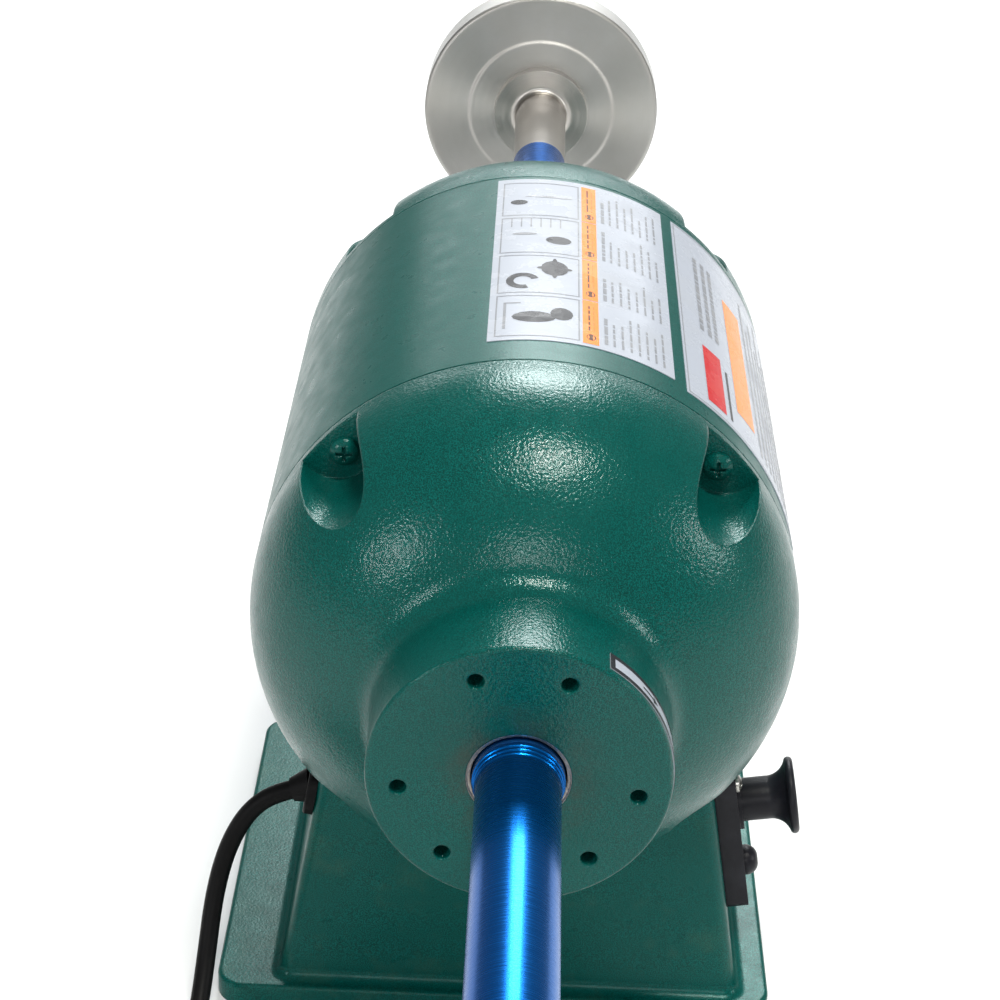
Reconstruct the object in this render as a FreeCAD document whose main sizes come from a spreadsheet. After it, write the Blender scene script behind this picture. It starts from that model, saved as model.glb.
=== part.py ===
import FreeCAD, Part
import math
import os
import Sketcher
from FreeCAD import Placement, Rotation, Vector
from types import SimpleNamespace

# Double-ended skate-blade grinder: motor, long arbor, grinding wheel, pedestal base, switch and
# mains cord. Millimetres. +Z is up, X runs along the arbor, -Y is the operator's side, and the
# origin is on the bench in the middle of the four bench bolts, straight under the motor's middle.
# "Left" is the -X end, where the arbor is free, and "right" is the +X end, which carries the wheel.

SIZES = {
    # motor housing
    "axis_height": 172, "barrel_length": 158, "barrel_radius": 90, "barrel_wall": 4,
    "rib_radius": 7.4, "pad_length": 124, "pad_width": 76, "pad_base": 72,
    # end bells, measured outwards from the seam with the barrel
    "bell_rim": 7, "shoulder_radius": 55, "shoulder_turn": 40, "flank_radius": 75, "inner_turn": 60,
    "neck_radius": 12, "boss_radius": 45.7, "boss_reach": 98, "boss_edge": 1.2, "bore_radius": 14.4,
    "mouth_radius": 15.5, "mouth_depth": 0.8,
    "bell_wall": 5, "seam_bevel": 0.6, "spigot_length": 5, "spigot_radius": 85.9, "spigot_inner": 82.9,
    "hollow_end": 66, "hollow_corner": 4, "hollow_web": 12, "housing_start": 58, "housing_wall": 7,
    "guard_circle": 36, "guard_hole": 2.5, "guard_depth": 14, "guard_pair_angle": 22.1,
    "guard_bevel": 0.8,
    "pocket_radius": 13, "pocket_circle": 85.4, "pocket_floor": 4, "pocket_lean": 4.5,
    "pocket_angle": 46, "pocket_post": 17, "pocket_post_end": 60, "pocket_end": 70,
    # screws that hold the bells
    "bell_screw_circle": 82.5, "bell_screw_radius": 2.5, "bell_screw_length": 22,
    "bell_screw_head": 4.7, "bell_screw_head_height": 3.6, "cross_reach": 2.6, "cross_width": 1.1,
    "cross_depth": 2,
    # stator and rotor
    "stack_length": 90, "stator_bore": 44.5, "slot_circle": 56, "slot_radius": 4.2,
    "winding_radius": 3.7, "coil_inner": 50, "coil_outer": 73, "coil_overhang": 23,
    "rotor_radius": 43.9, "cage_inner": 26, "cage_outer": 43, "cage_thickness": 8,
    "blade_height": 8, "blade_thickness": 2.5, "blade_inset": 2, "coil_rounding": 6,
    # arbor and its bearings
    "arbor_core": 15, "seat_radius": 12.5, "arbor_radius": 9.525, "arbor_end": 462, "free_radius": 9.25,
    "bearing_start": 140, "bearing_width": 15, "bearing_outer": 26, "bearing_inner_lip": 15.7,
    "bearing_outer_lip": 22.3, "ball_circle": 19, "groove_radius": 4.05, "ball_radius": 3.85,
    "cage_ring_half": 2.8, "cage_ring_wall": 0.7, "washer_thickness": 1,
    # blue spacer sleeves
    "sleeve_collar": 13.9, "sleeve_collar_end": 179.5, "sleeve_step": 1.4, "sleeve_radius": 12.7,
    "sleeve_end": 328, "sleeve_bore": 9.6, "arbor_tip": 1.5,
    # flanges, wheel and nuts
    "hub_end": 401, "flange_radius": 24, "wheel_start": 407, "wheel_width": 20, "wheel_radius": 60,
    "wheel_bevel": 1.2, "dish_radius": 36.6, "dish_depth": 0.8, "outer_flange": 7, "nut_width": 16,
    "nut_radius": 16.5, "flange_relief": 1.5, "flange_land": 6, "flange_edge": 3,
    # pedestal base
    "base_half_length": 80, "base_half_width": 85.2, "base_height": 120, "top_half_length": 77,
    "wall_tilt": 9.7, "base_wall": 5, "base_corner": 4, "foot_length": 172, "foot_front": 95.5,
    "foot_back": 106.5, "foot_height": 9, "foot_corner": 10, "foot_edge": 1.5, "foot_fillet": 4,
    "deck_base": 64, "saddle_gap": 0.2,
    "bench_bolt_x": 67, "bench_bolt_y": 70, "bench_bolt_hole": 3.4, "bench_bolt_depth": 20,
    "bench_post": 9, "bench_post_height": 30,
    "cover_base": 2, "cover_thickness": 1.5, "cover_half_length": 74.4, "cover_half_width": 79.2,
    "cover_post": 5, "cover_post_height": 21.5, "cover_post_x": 71, "cover_post_y": 75.5,
    "motor_bolt_x": 50, "motor_bolt_y": 26, "motor_bolt_radius": 4, "motor_bolt_reach": 84,
    "bolt_head_radius": 7.5, "bolt_head_height": 5.3, "lead_hole": 10,
    "cover_screw_radius": 2, "cover_screw_length": 10, "cover_head_radius": 3.6, "cover_head_height": 1.8,
    # capacitor and terminal block under the deck
    "capacitor_radius": 20, "capacitor_length": 70, "capacitor_start": -30, "capacitor_y": 32,
    "capacitor_z": 41, "tab_pitch": 14, "tab_width": 6, "tab_length": 9, "tab_thickness": 0.8,
    "clamp_start": 4, "clamp_width": 16, "clamp_wall": 1.4, "clamp_ear": 12,
    "terminal_start": -15, "terminal_length": 45, "terminal_front": -40, "terminal_depth": 18,
    "terminal_height": 13, "terminal_pitch": 9.8, "terminal_hole": 2.6, "terminal_inset": 3.5,
    "terminal_foot": 4.5, "deck_screw_radius": 1.9, "deck_head_radius": 3.4, "deck_head_height": 2,
    # switch on the operator's side
    "switch_x": -56, "switch_z": 78, "plate_width": 30, "plate_up": 20, "plate_down": 37.5,
    "plate_depth": 8, "plate_corner": 3, "knob_stem": 7.75, "knob_hole": 8.1, "knob_flange": 13.5,
    "knob_plunger": 3, "knob_plunger_end": 12, "knob_stem_end": 33.5, "knob_flare_end": 39.9,
    "knob_rim_end": 42.9, "knob_dish": 1.6, "knob_inset": 14,
    "reset_drop": 27, "reset_radius": 5.5, "reset_hole": 5.9, "reset_shoulder": 12, "reset_length": 16,
    "reset_inset": 3, "opening_half_width": 12.6, "opening_up": 15, "opening_down": 34.5, "opening_depth": 14,
    "switch_half_width": 12, "switch_up": 13, "switch_down": 16, "switch_depth": 24, "well_depth": 10.2,
    "breaker_half": 7, "breaker_depth": 22, "bay_end_x": -38, "bay_end_y": -40,
    "bezel_wall": 2.4, "bezel_lift": 1.5, "plate_screw_inset": 6, "plate_screw_radius": 1.8,
    "plate_screw_head": 3.4, "plate_screw_head_height": 2.2,
    # strain relief and cord on the back
    "relief_x": -66, "relief_z": 85.2, "relief_flange": 10.5, "relief_flange_width": 3.5,
    "relief_body": 8, "relief_depth": 12, "relief_lock": 4, "relief_lock_width": 2.5,
    "relief_lock_depth": 8.5,
    "boot_length": 7.5, "boot_droop": 18, "boot_radius": 6.6, "boot_wall": 0.9, "boot_lift": 1.5,
    "cord_diameter": 6.8, "loop_x": -190, "loop_y": 160, "loop_radius": 37, "loop_half_width": 10.6,
    "loop_height": 14, "loop_lift": 1.2, "loop_edge": 3, "loop_skin": 0.15,
    "tie_wall": 1.2, "tie_width": 9, "tie_bulge": 0.4,
    "plug_neck_length": 14, "plug_neck_start": 5, "plug_neck_end": 7.5, "plug_length": 24,
    "plug_width": 27, "plug_height": 18, "plug_lift": 0.3, "plug_edge": 3.5,
    "contact_pitch": 12.7, "contact_length": 17, "contact_width": 6.3, "contact_thickness": 1.5,
    "contact_base": 9.5, "earth_radius": 2.4, "earth_length": 19, "earth_height": 5.2,
    # labels
    "label_thickness": 0.25, "label_start": 14, "label_margin": 3, "arc_label_start": 2.5,
    "arc_label_width": 8,
}


class Size:
    """A number together with the spreadsheet expression that it comes from."""

    def __init__(self, value, text):
        self.value = value
        self.text = text

    def __add__(self, other):
        other = as_size(other)
        return Size(self.value + other.value, f"({self.text} + {other.text})")

    def __sub__(self, other):
        other = as_size(other)
        return Size(self.value - other.value, f"({self.text} - {other.text})")

    def __mul__(self, other):
        other = as_size(other)
        return Size(self.value * other.value, f"({self.text} * {other.text})")

    def __truediv__(self, other):
        other = as_size(other)
        return Size(self.value / other.value, f"({self.text} / {other.text})")

    def __neg__(self):
        return Size(-self.value, f"(-1 * {self.text})")

    def __radd__(self, other):
        return as_size(other) + self

    def __rsub__(self, other):
        return as_size(other) - self

    def __rmul__(self, other):
        return as_size(other) * self


def as_size(number):
    if isinstance(number, Size):
        return number
    return Size(float(number), f"({float(number)!r})")


def sine(angle):
    angle = as_size(angle)
    return Size(math.sin(math.radians(angle.value)), f"sin({angle.text})")


def cosine(angle):
    angle = as_size(angle)
    return Size(math.cos(math.radians(angle.value)), f"cos({angle.text})")


def arc_cosine(ratio):
    return Size(math.degrees(math.acos(ratio.value)), f"acos({ratio.text})")


doc = FreeCAD.newDocument("skate_grinder")
sheet = doc.addObject("Spreadsheet::Sheet", "sizes")
for row, (alias, value) in enumerate(SIZES.items(), start=1):
    sheet.set(f"A{row}", alias)
    sheet.set(f"B{row}", str(value))
    sheet.setAlias(f"B{row}", alias)
doc.recompute()
dim = SimpleNamespace(**{alias: Size(float(value), f"sizes.{alias}") for alias, value in SIZES.items()})

UPRIGHT = Rotation()
ALONG_X = Rotation(Vector(0, 0, 1), Vector(1, 0, 0))
OVER = 1  # how far a cutting tool runs past the face that it opens
nodes = []


# ---------------------------------------------------------------- building blocks

def node(piece, name):
    """Name a finished sub-part, which also names its file."""
    piece.Label = name
    nodes.append(piece)
    return piece


def bind(piece, **sizes):
    for field, size in sizes.items():
        piece.setExpression(field, as_size(size).text)


def place(piece, at, turn=UPRIGHT):
    """Put a piece at a point made of three sizes."""
    at = [as_size(part) for part in at]
    piece.Placement = Placement(Vector(*[part.value for part in at]), turn)
    for axis, part in zip("xyz", at):
        piece.setExpression(f"Placement.Base.{axis}", part.text)
    return piece


def cylinder(name, radius, length, at, turn=UPRIGHT):
    piece = doc.addObject("Part::Cylinder", name)
    bind(piece, Radius=radius, Height=length)
    return place(piece, at, turn)


def rod(name, radius, start, end, y=0, z=None):
    """A cylinder along X, on the arbor's axis unless y and z say otherwise."""
    start = as_size(start)
    return cylinder(name, radius, end - start, (start, y, dim.axis_height if z is None else z), ALONG_X)


def box(name, low, high):
    piece = doc.addObject("Part::Box", name)
    low = [as_size(part) for part in low]
    high = [as_size(part) for part in high]
    bind(piece, Length=high[0] - low[0], Width=high[1] - low[1], Height=high[2] - low[2])
    return place(piece, low)


def join(name, *pieces):
    piece = doc.addObject("Part::MultiFuse", name)
    piece.Shapes = list(pieces)
    return piece


def common(name, *pieces):
    piece = doc.addObject("Part::MultiCommon", name)
    piece.Shapes = list(pieces)
    return piece


def cut(name, base, *tools):
    piece = doc.addObject("Part::Cut", name)
    piece.Base = base
    piece.Tool = tools[0] if len(tools) == 1 else join(name + "_tools", *tools)
    return piece


def group(name, pieces):
    """Separate solids, such as a set of screws, kept together in one sub-part."""
    piece = doc.addObject("Part::Compound", name)
    piece.Links = list(pieces)
    return piece


def mirrored(name, source):
    """The same piece at the other end of the arbor."""
    piece = doc.addObject("Part::Mirroring", name)
    piece.Source = source
    piece.Normal = Vector(1, 0, 0)
    return piece


def rounded(name, base, radius, chosen):
    """Round the edges that the chosen test picks."""
    doc.recompute()
    piece = doc.addObject("Part::Fillet", name)
    piece.Base = base
    picked = [i for i, edge in enumerate(base.Shape.Edges, start=1) if chosen(edge)]
    piece.Edges = [(i, radius.value, radius.value) for i in picked]
    return piece


def is_upright(edge):
    low, high = edge.BoundBox.ZMin, edge.BoundBox.ZMax
    return len(edge.Vertexes) == 2 and high - low > 0.9 * edge.Length


def arc_edge(start, end, radius, side):
    """An arc between two points; side +1 puts its centre left of the way from start to end."""
    chord = end - start
    half = chord.Length / 2
    reach = math.sqrt(max(radius * radius - half * half, 0.0))
    left = Vector(-chord.y, chord.x, 0).normalize()
    centre = start + chord * 0.5 + left * (side * reach)
    angles = [math.atan2(p.y - centre.y, p.x - centre.x) for p in (start, end)]
    if side < 0:
        angles.reverse()
    circle = Part.Circle(centre, Vector(0, 0, 1), radius)
    return Part.ArcOfCircle(circle, *angles)


def turned(name, outline, at, turn=UPRIGHT):
    """Revolve a closed outline about X. A corner is (x, radius) and may add the radius of the arc
    to the next corner and the side of that arc's centre."""
    body = doc.addObject("PartDesign::Body", name)
    sketch = body.newObject("Sketcher::SketchObject", name + "_outline")
    plane = next(part for part in body.Origin.OriginFeatures if part.Role == "XZ_Plane")
    sketch.AttachmentSupport = [(plane, "")]
    sketch.MapMode = "FlatFace"
    corners = [[as_size(part) for part in corner[:2]] + list(corner[2:]) for corner in outline]
    points = [Vector(corner[0].value, corner[1].value, 0) for corner in corners]
    ends = []
    for i, corner in enumerate(corners):
        start, end = points[i], points[(i + 1) % len(points)]
        if len(corner) > 2:
            radius, side = as_size(corner[2]), corner[3]
            sketch.addGeometry(arc_edge(start, end, radius.value, side))
            ends.append((1, 2) if side > 0 else (2, 1))
            spot = sketch.addConstraint(Sketcher.Constraint("Radius", i, radius.value))
            sketch.setExpression(f"Constraints[{spot}]", radius.text)
        else:
            sketch.addGeometry(Part.LineSegment(start, end))
            ends.append((1, 2))
    for i, corner in enumerate(corners):
        after = (i + 1) % len(corners)
        sketch.addConstraint(Sketcher.Constraint("Coincident", i, ends[i][1], after, ends[after][0]))
        for part, kind, axis in ((corner[0], "DistanceX", -2), (corner[1], "DistanceY", -1)):
            if part.value == 0:
                sketch.addConstraint(Sketcher.Constraint("PointOnObject", i, ends[i][0], axis))
                continue
            spot = sketch.addConstraint(
                Sketcher.Constraint(kind, -1, 1, i, ends[i][0], part.value))
            sketch.setExpression(f"Constraints[{spot}]", part.text)
    spin = body.newObject("PartDesign::Revolution", name + "_turn")
    spin.Profile = sketch
    spin.ReferenceAxis = (sketch, ["H_Axis"])
    spin.Angle = 360
    return place(body, at, turn)


def on_arbor(name, outline):
    return turned(name, outline, (0, 0, dim.axis_height))


def round_the_axis(circle, angle):
    """The y and z of a point on a circle about the arbor; the angle is from the top towards -Y."""
    return -circle * sine(angle), dim.axis_height + circle * cosine(angle)


# ---------------------------------------------------------------- motor housing and end bells

SCREW_ANGLES = [turn * dim.pocket_angle + flip for turn, flip in ((1, 0), (-1, 0), (-1, 180), (1, 180))]
half_barrel = dim.barrel_length / 2


def make_housing():
    shell = cut("barrel_shell", rod("barrel_outside", dim.barrel_radius, -half_barrel, half_barrel),
                rod("barrel_inside", dim.barrel_radius - dim.barrel_wall,
                    -half_barrel - OVER, half_barrel + OVER))
    ribs = []
    holes = []
    for i, angle in enumerate(SCREW_ANGLES):
        y, z = round_the_axis(dim.bell_screw_circle, angle)
        ribs.append(rod(f"barrel_rib_{i}", dim.rib_radius, -half_barrel, half_barrel, y, z))
        holes.append(rod(f"rib_hole_{i}", dim.bell_screw_radius,
                         -half_barrel - OVER, half_barrel + OVER, y, z))
    pad = cut("motor_pad",
              box("pad_block", (-dim.pad_length / 2, -dim.pad_width / 2, dim.pad_base),
                  (dim.pad_length / 2, dim.pad_width / 2, dim.axis_height - dim.pad_width)),
              rod("pad_saddle", dim.barrel_radius - dim.barrel_wall / 2, -half_barrel, half_barrel))
    for i, (x, y) in enumerate(four_corners(dim.motor_bolt_x, dim.motor_bolt_y)):
        depth = dim.motor_bolt_reach + 2 - dim.pad_base
        holes.append(cylinder(f"pad_hole_{i}", dim.motor_bolt_radius, depth, (x, y, dim.pad_base)))
    pad_height = dim.axis_height - dim.pad_width - dim.pad_base
    holes.append(cylinder("lead_way", dim.lead_hole, pad_height, (0, 0, dim.pad_base - OVER)))
    node(cut("housing", join("housing_body", shell, *ribs, pad), *holes), "motor_housing")


def bell_outline():
    """The outside of an end bell: rim, shoulder, flank, neck and boss."""
    rim = half_barrel + dim.bell_rim
    shoulder_y = dim.barrel_radius - dim.shoulder_radius
    flank_x = rim + dim.shoulder_radius * sine(dim.shoulder_turn)
    flank_y = shoulder_y + dim.shoulder_radius * cosine(dim.shoulder_turn)
    centre_x = flank_x - dim.flank_radius * sine(dim.shoulder_turn)
    centre_y = flank_y - dim.flank_radius * cosine(dim.shoulder_turn)
    neck_reach = dim.flank_radius + dim.neck_radius
    neck_turn = arc_cosine((dim.boss_radius + dim.neck_radius - centre_y) / neck_reach)
    face = half_barrel + dim.boss_reach
    outside = [
        (half_barrel - dim.spigot_length, 0),
        (half_barrel - dim.spigot_length, dim.spigot_radius),
        (half_barrel, dim.spigot_radius),
        (half_barrel, dim.barrel_radius - dim.seam_bevel),
        (half_barrel + dim.seam_bevel, dim.barrel_radius),
        (rim, dim.barrel_radius, dim.shoulder_radius, -1),
        (flank_x, flank_y, dim.flank_radius, -1),
        (centre_x + dim.flank_radius * sine(neck_turn), centre_y + dim.flank_radius * cosine(neck_turn),
         dim.neck_radius, 1),
        (centre_x + neck_reach * sine(neck_turn), dim.boss_radius),
        (face - dim.boss_edge, dim.boss_radius, dim.boss_edge, -1),
        (face, dim.boss_radius - dim.boss_edge),
        (face, 0),
    ]
    inner_shoulder = dim.shoulder_radius - dim.bell_wall
    inner_flank = dim.flank_radius - dim.bell_wall
    housing_start = half_barrel + dim.housing_start
    housing_radius = dim.bearing_outer + dim.housing_wall
    hollow_end = half_barrel + dim.hollow_end
    web_radius = dim.bearing_outer + dim.hollow_web
    seat_end = dim.bearing_start + dim.bearing_width + dim.washer_thickness
    mouth = half_barrel - dim.spigot_length - OVER
    inside = [
        (mouth, 0),
        (mouth, dim.spigot_inner),
        (half_barrel + 2, dim.spigot_inner),
        (half_barrel + 2, dim.barrel_radius - dim.bell_wall),
        (rim, dim.barrel_radius - dim.bell_wall, inner_shoulder, -1),
        (rim + inner_shoulder * sine(dim.shoulder_turn),
         shoulder_y + inner_shoulder * cosine(dim.shoulder_turn), inner_flank, -1),
        (centre_x + inner_flank * sine(dim.inner_turn), centre_y + inner_flank * cosine(dim.inner_turn)),
        (hollow_end - dim.hollow_corner, web_radius + dim.hollow_corner),
        (hollow_end, web_radius),
        (hollow_end, housing_radius),
        (housing_start, housing_radius),
        (housing_start, dim.bearing_outer),
        (seat_end, dim.bearing_outer),
        (seat_end, dim.bore_radius),
        (face - dim.mouth_depth, dim.bore_radius),
        (face - dim.mouth_depth, dim.mouth_radius),
        (face + OVER, dim.mouth_radius),
        (face + OVER, 0),
    ]
    return outside, inside


def leaning_rod(name, radius, angle):
    """A rod along a screw pocket, which leans outwards away from the seam."""
    y, z = round_the_axis(dim.pocket_circle, angle)
    lean = math.radians(dim.pocket_lean.value)
    swing = math.radians(angle.value)
    along = Vector(math.cos(lean), -math.sin(swing) * math.sin(lean), math.cos(swing) * math.sin(lean))
    start = half_barrel - dim.pocket_floor
    return cylinder(name, radius, dim.pocket_end + 10, (start, y, z), Rotation(Vector(0, 0, 1), along))


def make_bells():
    outside, inside = bell_outline()
    face = half_barrel + dim.boss_reach
    everything = dim.barrel_radius * 1.3
    spigot_end = half_barrel - dim.spigot_length - OVER
    shell = on_arbor("bell_outside", outside)
    posts = common("pocket_posts",
                   join("pocket_post_rods", *[leaning_rod(f"pocket_post_{i}", dim.pocket_post, angle)
                                              for i, angle in enumerate(SCREW_ANGLES)]),
                   rod("post_reach", everything, half_barrel, half_barrel + dim.pocket_post_end))
    hollow = cut("bell_hollow", on_arbor("bell_inside", inside), posts)
    pockets = common("screw_pockets",
                     join("pocket_rods", *[leaning_rod(f"pocket_{i}", dim.pocket_radius, angle)
                                           for i, angle in enumerate(SCREW_ANGLES)]),
                     rod("pocket_reach", everything, half_barrel + dim.pocket_floor,
                         half_barrel + dim.pocket_end))
    holes = []
    for i, angle in enumerate(SCREW_ANGLES):
        y, z = round_the_axis(dim.bell_screw_circle, angle)
        holes.append(rod(f"bell_screw_way_{i}", dim.bell_screw_radius + 0.25,
                         spigot_end, half_barrel + dim.pocket_floor + OVER, y, z))
        holes.append(rod(f"rib_notch_{i}", dim.rib_radius + 0.6, spigot_end, half_barrel, y, z))
    for third in range(3):
        for side in (-1, 1):
            y, z = round_the_axis(dim.guard_circle, 120 * third + side * dim.guard_pair_angle)
            holes.append(rod(f"guard_hole_{third}_{side}", dim.guard_hole,
                             face - dim.guard_depth, face + OVER, y, z))
            bevel = doc.addObject("Part::Cone", f"guard_bevel_{third}_{side}")
            bind(bevel, Radius1=dim.guard_hole, Radius2=dim.guard_hole + dim.guard_bevel,
                 Height=dim.guard_bevel)
            holes.append(place(bevel, (face - dim.guard_bevel / 2, y, z), ALONG_X))
    right = cut("right_bell", cut("bell_plain", shell, hollow), pockets, *holes)
    node(right, "right_end_bell")
    node(mirrored("left_bell", right), "left_end_bell")


def make_bell_screws():
    screws = []
    seat = half_barrel + dim.pocket_floor
    for i, angle in enumerate(SCREW_ANGLES):
        y, z = round_the_axis(dim.bell_screw_circle, angle)
        shank = rod(f"bell_screw_shank_{i}", dim.bell_screw_radius, seat - dim.bell_screw_length, seat, y, z)
        head = turned(f"bell_screw_head_{i}", pan_head(dim.bell_screw_head, dim.bell_screw_head_height),
                      (seat, y, z))
        slots = cross_slot(f"bell_screw_{i}", seat + dim.bell_screw_head_height, y, z)
        screws.append(cut(f"bell_screw_{i}", join(f"bell_screw_solid_{i}", shank, head), *slots))
    right = group("right_screws", screws)
    node(right, "right_bell_screws")
    node(mirrored("left_screws", right), "left_bell_screws")


def pan_head(radius, height):
    """A pan head's outline from its seat: a short side, a domed shoulder and a flat top."""
    side, dome, flat = height * 0.45, radius * 1.35, radius * 0.35
    return [(0, 0), (0, radius), (side, radius, dome, -1), (height, flat), (height, 0)]


def cross_slot(name, top, y, z):
    """A cross recess in the top of a screw along X."""
    reach, half = dim.cross_reach, dim.cross_width / 2
    floor = top - dim.cross_depth
    flat = box(name + "_slot_a", (floor, y - reach, z - half), (top + OVER, y + reach, z + half))
    tall = box(name + "_slot_b", (floor, y - half, z - reach), (top + OVER, y + half, z + reach))
    return flat, tall


# ---------------------------------------------------------------- stator, rotor and arbor

SLOTS = 24
BLADES = 10
BALLS = 9


def make_stator():
    half_stack = dim.stack_length / 2
    past = half_stack + OVER
    bore = rod("stator_bore_rod", dim.stator_bore, -past, past)
    ways = [rod(f"rib_way_{i}", dim.rib_radius + 0.1, -past, past,
                *round_the_axis(dim.bell_screw_circle, angle)) for i, angle in enumerate(SCREW_ANGLES)]
    slots = []
    bars = []
    for i in range(SLOTS):
        y, z = round_the_axis(dim.slot_circle, i * 360 / SLOTS)
        slots.append(rod(f"slot_{i}", dim.slot_radius, -past, past, y, z))
        bars.append(rod(f"winding_{i}", dim.winding_radius, -past - OVER, past + OVER, y, z))
    stack = rod("stack", dim.barrel_radius - dim.barrel_wall, -half_stack, half_stack)
    node(cut("stator", stack, bore, *ways, *slots), "stator_core")
    end = half_stack + dim.coil_overhang
    curve = dim.coil_rounding
    ring = on_arbor("right_coil_ring", [
        (past, dim.coil_inner), (end - curve, dim.coil_inner, curve, 1),
        (end, dim.coil_inner + curve), (end, dim.coil_outer - curve, curve, 1),
        (end - curve, dim.coil_outer), (past, dim.coil_outer)])
    node(join("windings", ring, mirrored("left_coil_ring", ring), *bars), "stator_windings")


def make_rotor():
    half_stack = dim.stack_length / 2
    node(cut("rotor", rod("rotor_blank", dim.rotor_radius, -half_stack, half_stack),
             rod("rotor_way", dim.arbor_core, -half_stack - OVER, half_stack + OVER)), "rotor_core")
    ring_end = half_stack + dim.cage_thickness
    ring = cut("cage_ring", rod("cage_ring_outside", dim.cage_outer, half_stack, ring_end),
               rod("cage_ring_inside", dim.cage_inner, half_stack - OVER, ring_end + OVER))
    blades = []
    for i in range(BLADES):
        blade = doc.addObject("Part::Box", f"fan_blade_{i}")
        bind(blade, Length=dim.blade_height + OVER, Width=dim.blade_thickness,
             Height=dim.cage_outer - dim.cage_inner - 2 * dim.blade_inset)
        angle = i * 360 / BLADES
        y, z = round_the_axis(dim.cage_inner + dim.blade_inset, angle)
        blades.append(place(blade, (ring_end - OVER, y, z), Rotation(Vector(1, 0, 0), angle)))
    right = join("right_cage_end", ring, *blades)
    node(group("rotor_cage", [right, mirrored("left_cage_end", right)]), "rotor_end_rings")


def make_arbor():
    seat_end = dim.bearing_start + dim.bearing_width
    steps = [rod("arbor_middle", dim.arbor_core, -dim.bearing_start, dim.bearing_start),
             rod("arbor_seats", dim.seat_radius, -seat_end, seat_end)]
    tip = dim.arbor_tip
    ends = on_arbor("arbor_right_end", [
        (seat_end - OVER, 0), (seat_end - OVER, dim.arbor_radius), (dim.arbor_end - tip, dim.arbor_radius),
        (dim.arbor_end, dim.arbor_radius - tip), (dim.arbor_end, 0)])
    free_start = dim.wheel_start + dim.outer_flange + dim.nut_width
    free_end = rod("free_end_reach", dim.arbor_core, -dim.arbor_end - OVER, -free_start)
    slimmer = cut("free_end_skin", free_end,
                  rod("free_end_core", dim.free_radius, -dim.arbor_end - 2 * OVER, -free_start + OVER))
    whole = join("arbor", *steps, ends, mirrored("arbor_left_end", ends))
    node(cut("arbor_turned", whole, slimmer), "arbor_shaft")


def make_bearings():
    start = dim.bearing_start
    end = start + dim.bearing_width
    middle = start + dim.bearing_width / 2
    groove_drop = dim.ball_circle.value - dim.bearing_inner_lip.value
    half_groove = math.sqrt(dim.groove_radius.value ** 2 - groove_drop ** 2)
    outer = on_arbor("outer_race", [
        (start, dim.bearing_outer_lip), (middle - half_groove, dim.bearing_outer_lip, dim.groove_radius, -1),
        (middle + half_groove, dim.bearing_outer_lip), (end, dim.bearing_outer_lip),
        (end, dim.bearing_outer), (start, dim.bearing_outer)])
    inner = on_arbor("inner_race", [
        (start, dim.seat_radius), (end, dim.seat_radius), (end, dim.bearing_inner_lip),
        (middle + half_groove, dim.bearing_inner_lip, dim.groove_radius, -1),
        (middle - half_groove, dim.bearing_inner_lip), (start, dim.bearing_inner_lip)])
    balls = []
    for i in range(BALLS):
        ball = doc.addObject("Part::Sphere", f"ball_{i}")
        bind(ball, Radius=dim.ball_radius)
        balls.append(place(ball, (middle, *round_the_axis(dim.ball_circle, i * 360 / BALLS))))
    cage = cut("cage_band",
               rod("cage_band_outside", dim.ball_circle + dim.cage_ring_wall,
                   middle - dim.cage_ring_half, middle + dim.cage_ring_half),
               rod("cage_band_inside", dim.ball_circle - dim.cage_ring_wall, start, end))
    ball_set = join("ball_set", cage, *balls)
    pieces = {"bearing_outer_race": outer, "bearing_inner_race": inner, "bearing_balls": ball_set}
    for name, piece in pieces.items():
        node(piece, "right_" + name)
        node(mirrored("left_" + name, piece), "left_" + name)
    washer = cut("preload_washer",
                 rod("washer_outside", dim.bearing_outer - 0.3, end, end + dim.washer_thickness),
                 rod("washer_inside", dim.bearing_outer_lip, end - OVER, end + dim.washer_thickness + OVER))
    node(group("washer_pair", [washer, mirrored("left_preload_washer", washer)]), "preload_washers")


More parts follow.
